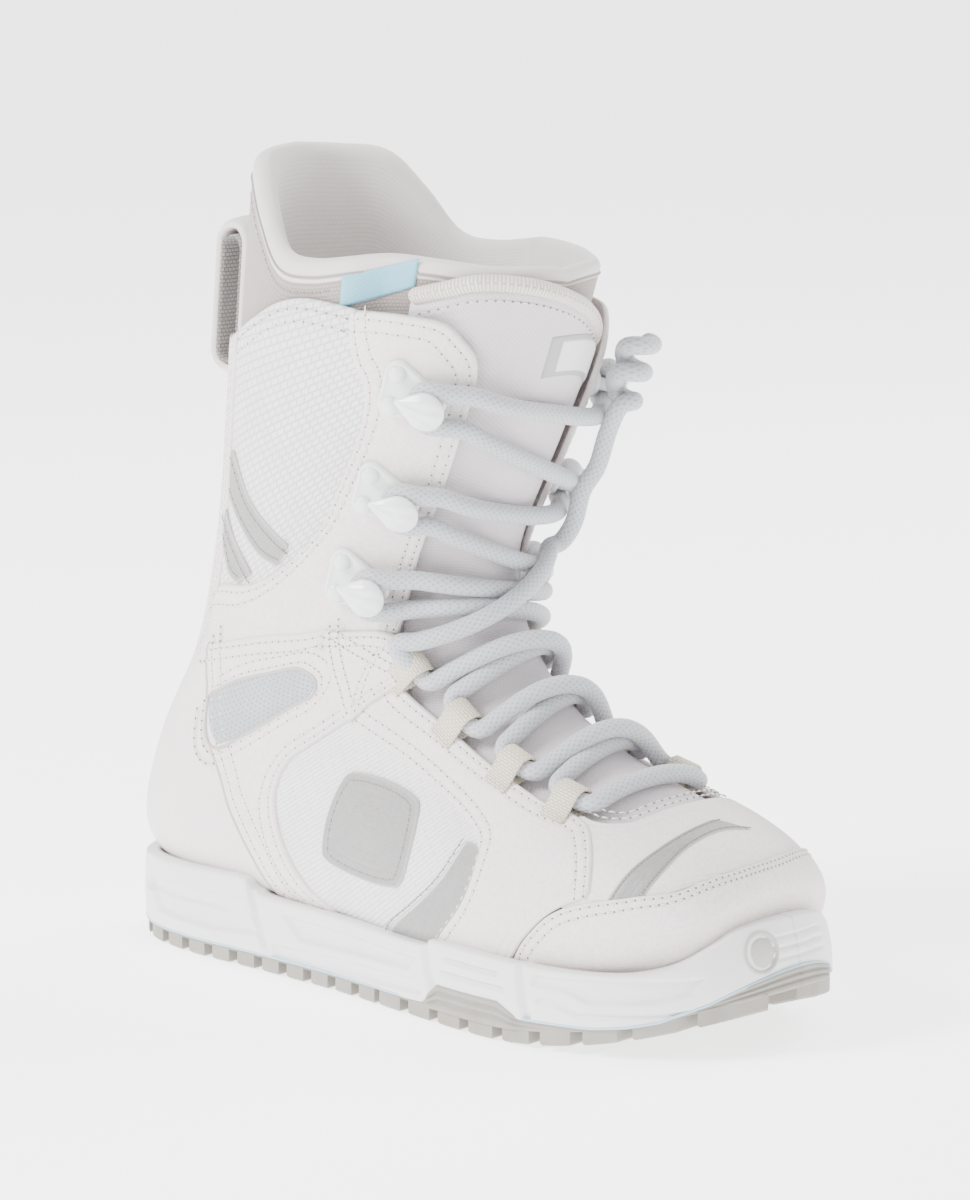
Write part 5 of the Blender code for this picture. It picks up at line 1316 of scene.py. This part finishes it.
def rounded_hull(circles, count=64):
    """Even outline round a few circles (x, y, radius)."""
    points = [Vector((x + r * math.cos(t), y + r * math.sin(t)))
              for x, y, r in circles for t in np.linspace(0, 2 * math.pi, 60, endpoint=False)]
    ring = np.array([tuple(points[i]) for i in convex_hull_2d(points)])
    return by_length(np.vstack([ring, ring[:1]]), count + 1)[:-1]


def stacked(rings):
    """Points and faces of a closed body from rings of equal count."""
    return np.vstack(rings), closed_body(len(rings), len(rings[0]))


def shrunk(ring, inset, centre):
    """A ring drawn in towards a centre by an inset."""
    away = ring - centre
    far = np.linalg.norm(away, axis=1, keepdims=True)
    return centre + away * np.maximum(far - inset, 0.02) / np.maximum(far, 1e-9)


def hook(name, place):
    """Plate, neck and ridged hood of one hook, joined in one mesh of three closed bodies."""
    outline = rounded_hull([(-0.4, RIVET_Y, 4.6), (-0.4, -RIVET_Y, 4.6), (NECK_X + 1.6, 0, 4.4)])
    middle = outline.mean(axis=0)
    every, faces = [], []

    def gather(rings):
        points, new = stacked(rings)
        at = sum(len(p) for p in every)
        every.append(points)
        faces.extend(tuple(k + at for k in f) for f in new)

    levels = ((0.6, -1.2), (0.0, -0.9), (0.0, 1.3), (0.2, 1.75), (0.6, 2.0), (1.3, 2.05), (1.7, 1.85), (3.2, 1.8))
    gather([np.column_stack([shrunk(outline, inset, middle), np.full(len(outline), z)]) for inset, z in levels])
    angle = np.linspace(0, 2 * math.pi, 32, endpoint=False)
    neck = np.stack([np.cos(angle) * 2.0 + NECK_X + 1.6, np.sin(angle) * 2.4], -1)
    gather([np.column_stack([neck, np.full(32, z)]) for z in (1.2, HOOD_LEVEL + 1.2)])
    drop = rounded_hull([(NECK_X + 1.4, 0, 6.9), (NECK_X - 8.6, 0, 1.4)], 120)
    peak = np.array((NECK_X + 1.0, 0.0))
    point = np.array((NECK_X - 11.5, 0.0))
    rings = [np.column_stack([shrunk(drop, 1.0, peak), np.full(120, HOOD_LEVEL - 0.2)]),
             np.column_stack([drop, np.full(120, HOOD_LEVEL + 0.35)])]
    for share in (0.985, 0.95, 0.9, 0.82, 0.72, 0.6, 0.47, 0.33, 0.2, 0.08):
        ring = peak + (drop - peak) * share
        dome = 3.0 * math.sqrt(1 - share ** 2.4) + 0.55
        fan = np.arctan2(ring[:, 1] - point[1], ring[:, 0] - point[0])
        ridge = 0.30 * np.cos(fan * 22) * np.clip((1 - share) * 6, 0, 1) * np.clip((ring[:, 0] - point[0]) / 12, 0, 1)
        fall = 0.05 * np.abs(ring[:, 0] - peak[0])
        rings.append(np.column_stack([ring, HOOD_LEVEL + dome + ridge - fall]))
    gather(rings)
    made = make(name, np.vstack(every), faces, NYLON)
    made.data.transform(place)
    if place.determinant() < 0:
        made.data.flip_normals()
    return made


RIVET = ((1.6, -4.6), (1.6, 1.6), (3.1, 1.7), (3.15, 2.1), (2.95, 2.75), (2.4, 3.35), (1.6, 3.75), (0.8, 3.92),
         (0.1, 3.95))
for name, side in SIDES:
    for number in (1, 2, 3):
        place = hook_place(number - 1, -side)
        lifted = place @ Matrix.Translation((0, 0, CUFF_LIFT - 0.3))
        piece = hook(f"nylon_hook_{name}_{number}", lifted)
        settle(piece, f"hook_{name}_{number}")
        for end, y in (("lower", -RIVET_Y), ("upper", RIVET_Y)):
            stud = turned(f"nylon_rivet_{name}_{number}_{end}", RIVET, Matrix.Identity(4), NYLON, 28)
            stud.data.transform(Matrix.Diagonal((1000, 1000, 1000, 1)))
            stud.data.transform(lifted @ Matrix.Translation((-0.4, y, 0)))
            if place.determinant() < 0:
                stud.data.flip_normals()
            settle(stud, f"rivet_{name}_{number}_{end}")


# ---------------------------------------------------------------- lace
# Round braided polyester lace, 6.6 mm: across the bottom loops, crossing up through the loops,
# then from side to side round the hooks and wrapped at the top hook of the medial side.
def braid():
    """Braided cord: two sets of plaited yarns crossing at 45 degrees, drawn 1.7 mm apart."""
    skin, shader = new_skin("braided_polyester_lace", 0.62, Sheen_Weight=0.35, Sheen_Roughness=0.4)
    plan = add(skin, "TexCoord").outputs["UV"]
    yarns = []
    for turn in (38, -38):
        turned_plan = add(skin, "Mapping", {"Vector": plan, "Rotation": (0, 0, math.radians(turn))}).outputs[0]
        yarns.append(add(skin, "TexWave", {"Vector": turned_plan, "Scale": 0.314 / 0.0017}).outputs["Fac"])
    crossing = add(skin, "Math", {0: yarns[0], 1: yarns[1]}, operation='MAXIMUM').outputs[0]
    place = add(skin, "TexCoord").outputs["Object"]
    fuzz = noise(skin, place, 1900.0, 2.0)
    height = add(skin, "Math", {0: fuzz, 1: 0.4, 2: crossing}, operation='MULTIPLY_ADD').outputs[0]
    bump = add(skin, "Bump", {"Height": height, "Strength": 0.5, "Distance": 0.00025})
    tint = blend(skin, crossing, "#94979B", "#B5B7BB")
    return finished(skin, shader, tint, bump)


BRAID = braid()
LOW = TONGUE_LEVEL + LACE + 2.2
HIGH = LOW + 2 * LACE + 0.2


PAST_HOOK = 0.17  # place on the cuff's front edge where a strand is clear of its hook
TAUT = 0.6  # sections a taut strand drops below the even line over the tongue


def strand(start, end, ends_out, over, count=13):
    """Lace pulled straight across the tongue between two (section, place) pairs, over or under its neighbour."""
    t = np.linspace(0, 1, count)
    bump = np.sin(np.clip(1 - np.abs(2 * t - 1), 0, 1) * math.pi / 2) ** 2
    out = ends_out + ((HIGH if over else LOW) - ends_out) * bump
    v, a = (start[k] + (end[k] - start[k]) * t for k in (0, 1))
    first, last = np.array(form(*start, ends_out)), np.array(form(*end, ends_out))
    level = np.cross(last - first, np.array(outward(v[count // 2] - TAUT, 0.0)))
    level /= np.linalg.norm(level)
    step = 0.05
    for _ in range(6):
        here = (form(v, a, out) - first) @ level
        there = (form(v + step, a, out) - first) @ level
        v = v - np.clip(here / (there - here), -8, 8) * step
    return list(form(v, a, out))


def eye_run(index, side):
    """Lace through the eye of a loop, upwards."""
    section = LOOP_SECTIONS[index]
    place = loop_place(section, side)
    half = 5.7 * MM / rates(section, place)[0]
    return [form(v, place, EYE) for v in (section - half, section, section + half)]


def mouth(index, side, step):
    """Where the lace leaves a loop, just past its edge and already turned to the tongue."""
    section = LOOP_SECTIONS[index]
    place = loop_place(section, side)
    up, round_it = rates(section, place)
    return (section + step * 8.7 * MM / up, place - side * 2.2 * MM / round_it)


def soft_cord(points, passes=3):
    """Points of a lace eased into one smooth path 1.2 mm apart."""
    path = np.array(points, float)
    path = smooth_rows(path, np.linspace(0, len(path) - 1, len(path) * 8))
    length = np.linalg.norm(np.diff(path, axis=0), axis=1).sum()
    path = by_length(path, int(length / (1.2 * MM)))
    for _ in range(passes):
        path[1:-1] = path[1:-1] * 0.5 + (path[:-2] + path[2:]) * 0.25
    return path


def lower_lace():
    """Across the bottom pair of loops and crossing up to the top pair."""
    halves = []
    for first in (-1, 1):
        half = []
        for index in range(3):
            side = first if index % 2 == 0 else -first
            half += eye_run(index, side)
            half += strand(mouth(index, side, 1), mouth(index + 1, -side, -1), EYE, side > 0)
        halves.append(half + eye_run(3, -first))
    bar = strand(mouth(0, -1, -1), mouth(0, 1, -1), EYE, False)
    return soft_cord(halves[0][::-1] + bar + halves[1])


def round_hook(place):
    """Lace round the back of a hook's neck, upwards."""
    x = NECK_X - CLEAR - LACE
    turn = [(NECK_X + 4.0, -BEND), (NECK_X + 0.5, -BEND), (x + 1.2, -BEND * 0.72), (x, 0.0),
            (x + 1.2, BEND * 0.72), (NECK_X + 0.5, BEND), (NECK_X + 4.0, BEND)]
    return [np.array(place @ Vector((px, py, LACE_LEVEL + CUFF_LIFT - 0.3))) for px, py in turn]


def leave(index, side, step):
    """Section and place a little past where the lace leaves a hook, level with the hook."""
    _, (hood_v, hood_a) = HOOKS[index]
    v = hood_v - 0.08 + step * BEND * MM / rates(hood_v, side * hood_a)[0]
    level = form(v, side * hood_a)[2]
    for _ in range(5):
        v += (level - form(v, side * PAST_HOOK)[2]) / rates(v, side * PAST_HOOK)[0]
    return (v, side * PAST_HOOK)


def zigzag():
    """From the top medial loop to the lateral bottom hook, then from side to side up to the last."""
    section = LOOP_SECTIONS[3]
    place = loop_place(section, 1)
    begin = (section + 8.7 * MM / rates(section, place)[0], place)
    points = [form(section - 0.25, place, EYE)] + strand(begin, leave(0, -1, -1), 3.5, False, 11)
    for index in (0, 1, 2):
        points += round_hook(hook_place(index, -1))
        points += strand(leave(index, -1, 1), leave(index, 1, -1), 5.5, False, 11)
        points += round_hook(hook_place(index, 1))
        if index < 2:
            points += strand(leave(index, 1, 1), leave(index + 1, -1, -1), 5.5, False, 11)
    return soft_cord(points)


def free_end():
    """From the top lateral loop across to the medial side, up past its hooks, and wrapped twice."""
    section = LOOP_SECTIONS[3]
    place = loop_place(section, -1)
    begin = (section + 8.7 * MM / rates(section, place)[0], place)
    points = [form(section - 0.25, place, EYE)] + strand(begin, (9.6, 0.11), 6.0, True, 11)
    for v, out in ((9.9, 9.5), (10.5, 11.5), (11.2, 10.0), (11.7, 11.5), (12.2, 10.5), (12.6, 11.0)):
        points.append(form(v, 0.125, out))
    for t in np.linspace(0, 1, 26):
        turn = t * 2.2 * 2 * math.pi
        points.append(form(12.75 + 0.85 * t, 0.14 + 0.042 * math.sin(turn), 10.5 + 4.4 * math.cos(turn)))
    return soft_cord(points, 1)


low_lace = tube("braided_lace_lower", lower_lace(), LACE * MM, BRAID, 16)
settle(low_lace, "lace_lower")
for name, route in (("a", zigzag()), ("b", free_end())):
    cord = tube(f"braided_lace_upper_{name}", route, LACE * MM, BRAID, 16)
    settle(cord, f"lace_upper_{name}")

# ---------------------------------------------------------------- pull loop
# Folded strap at the back of the cuff for pulling the boot on: padded white leather outside,
# grey woven webbing inside, swinging on its stitch line.
GREY_WEBBING = woven("grey_woven_webbing", "#A3A09E", "#74706C", 1.8, 1.4, 0.4, 0.8, gap=0.3)
swing = np.array(next(j for j in frame["joints"] if j["name"] == "pull_loop_swing")["pos_m"])


def racetrack(half, height, count=90):
    """Closed side line of the strap: two round ends and two straight runs."""
    top = [(math.cos(t) * half, height - 6 + math.sin(t) * half) for t in np.linspace(0, math.pi, 20)]
    low = [(math.cos(t) * half, math.sin(t) * half) for t in np.linspace(math.pi, 2 * math.pi, 20)]
    ring = np.array(top + low + top[:1])
    return by_length(ring, count + 1)[:-1]


SET_BACK = np.array((1.8, 0.0))  # mm the loop stands behind its stitch line
STRAP_LEAN = 5  # degrees, forward


def strap(name, half, height, thick, wide, skin, bulge):
    """Closed band of strap round a racetrack line."""
    path = racetrack(half, height)
    run = np.roll(path, -1, axis=0) - np.roll(path, 1, axis=0)
    run /= np.linalg.norm(run, axis=1, keepdims=True)
    out = np.stack([run[:, 1], -run[:, 0]], -1)
    across_it = np.linspace(-1, 1, 13)
    profile = [(w * wide / 2, thick / 2 * math.sqrt(max(0.0, 1 - abs(w) ** 6)) + bulge * (1 - w * w))
               for w in across_it]
    profile += [(w * wide / 2, -thick / 2 * math.sqrt(max(0.0, 1 - abs(w) ** 6))) for w in across_it[::-1][1:-1]]
    around, count = len(profile), len(path)
    points, plan = [], []
    length = 0.0
    lean = math.radians(STRAP_LEAN)
    for k in range(count):
        length += np.linalg.norm(path[k] - path[k - 1]) if k else 0.0
        for w, h in profile:
            x, z = path[k] + out[k] * h - SET_BACK
            points.append(swing + np.array((x * math.cos(lean) + z * math.sin(lean), w,
                                            -x * math.sin(lean) + z * math.cos(lean))) * MM)
            plan.append((w * MM, length * MM))
    faces = [(k * around + j, k * around + (j + 1) % around, ((k + 1) % count) * around + (j + 1) % around,
              ((k + 1) % count) * around + j) for k in range(count) for j in range(around)]
    corners = np.array(points)[list(faces[6])]
    centre = swing + np.array((0, 0, 0.016))
    if np.cross(corners[1] - corners[0], corners[2] - corners[0]) @ (corners[0] - centre) < 0:
        faces = [f[::-1] for f in faces]
    return make(name, points, faces, skin, plan)


outer = strap("pull_loop_padded_strap", 6.6, 45, 3.0, 25, SMOOTH_LEATHER, 1.5)
lining = strap("pull_loop_webbing", 4.7, 43.0, 1.2, 23.6, GREY_WEBBING, 0.0)
for piece in (outer, lining):
    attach(piece, "pull_loop")
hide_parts("heel_pull_loop")

bpy.context.view_layer.update()
low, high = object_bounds()
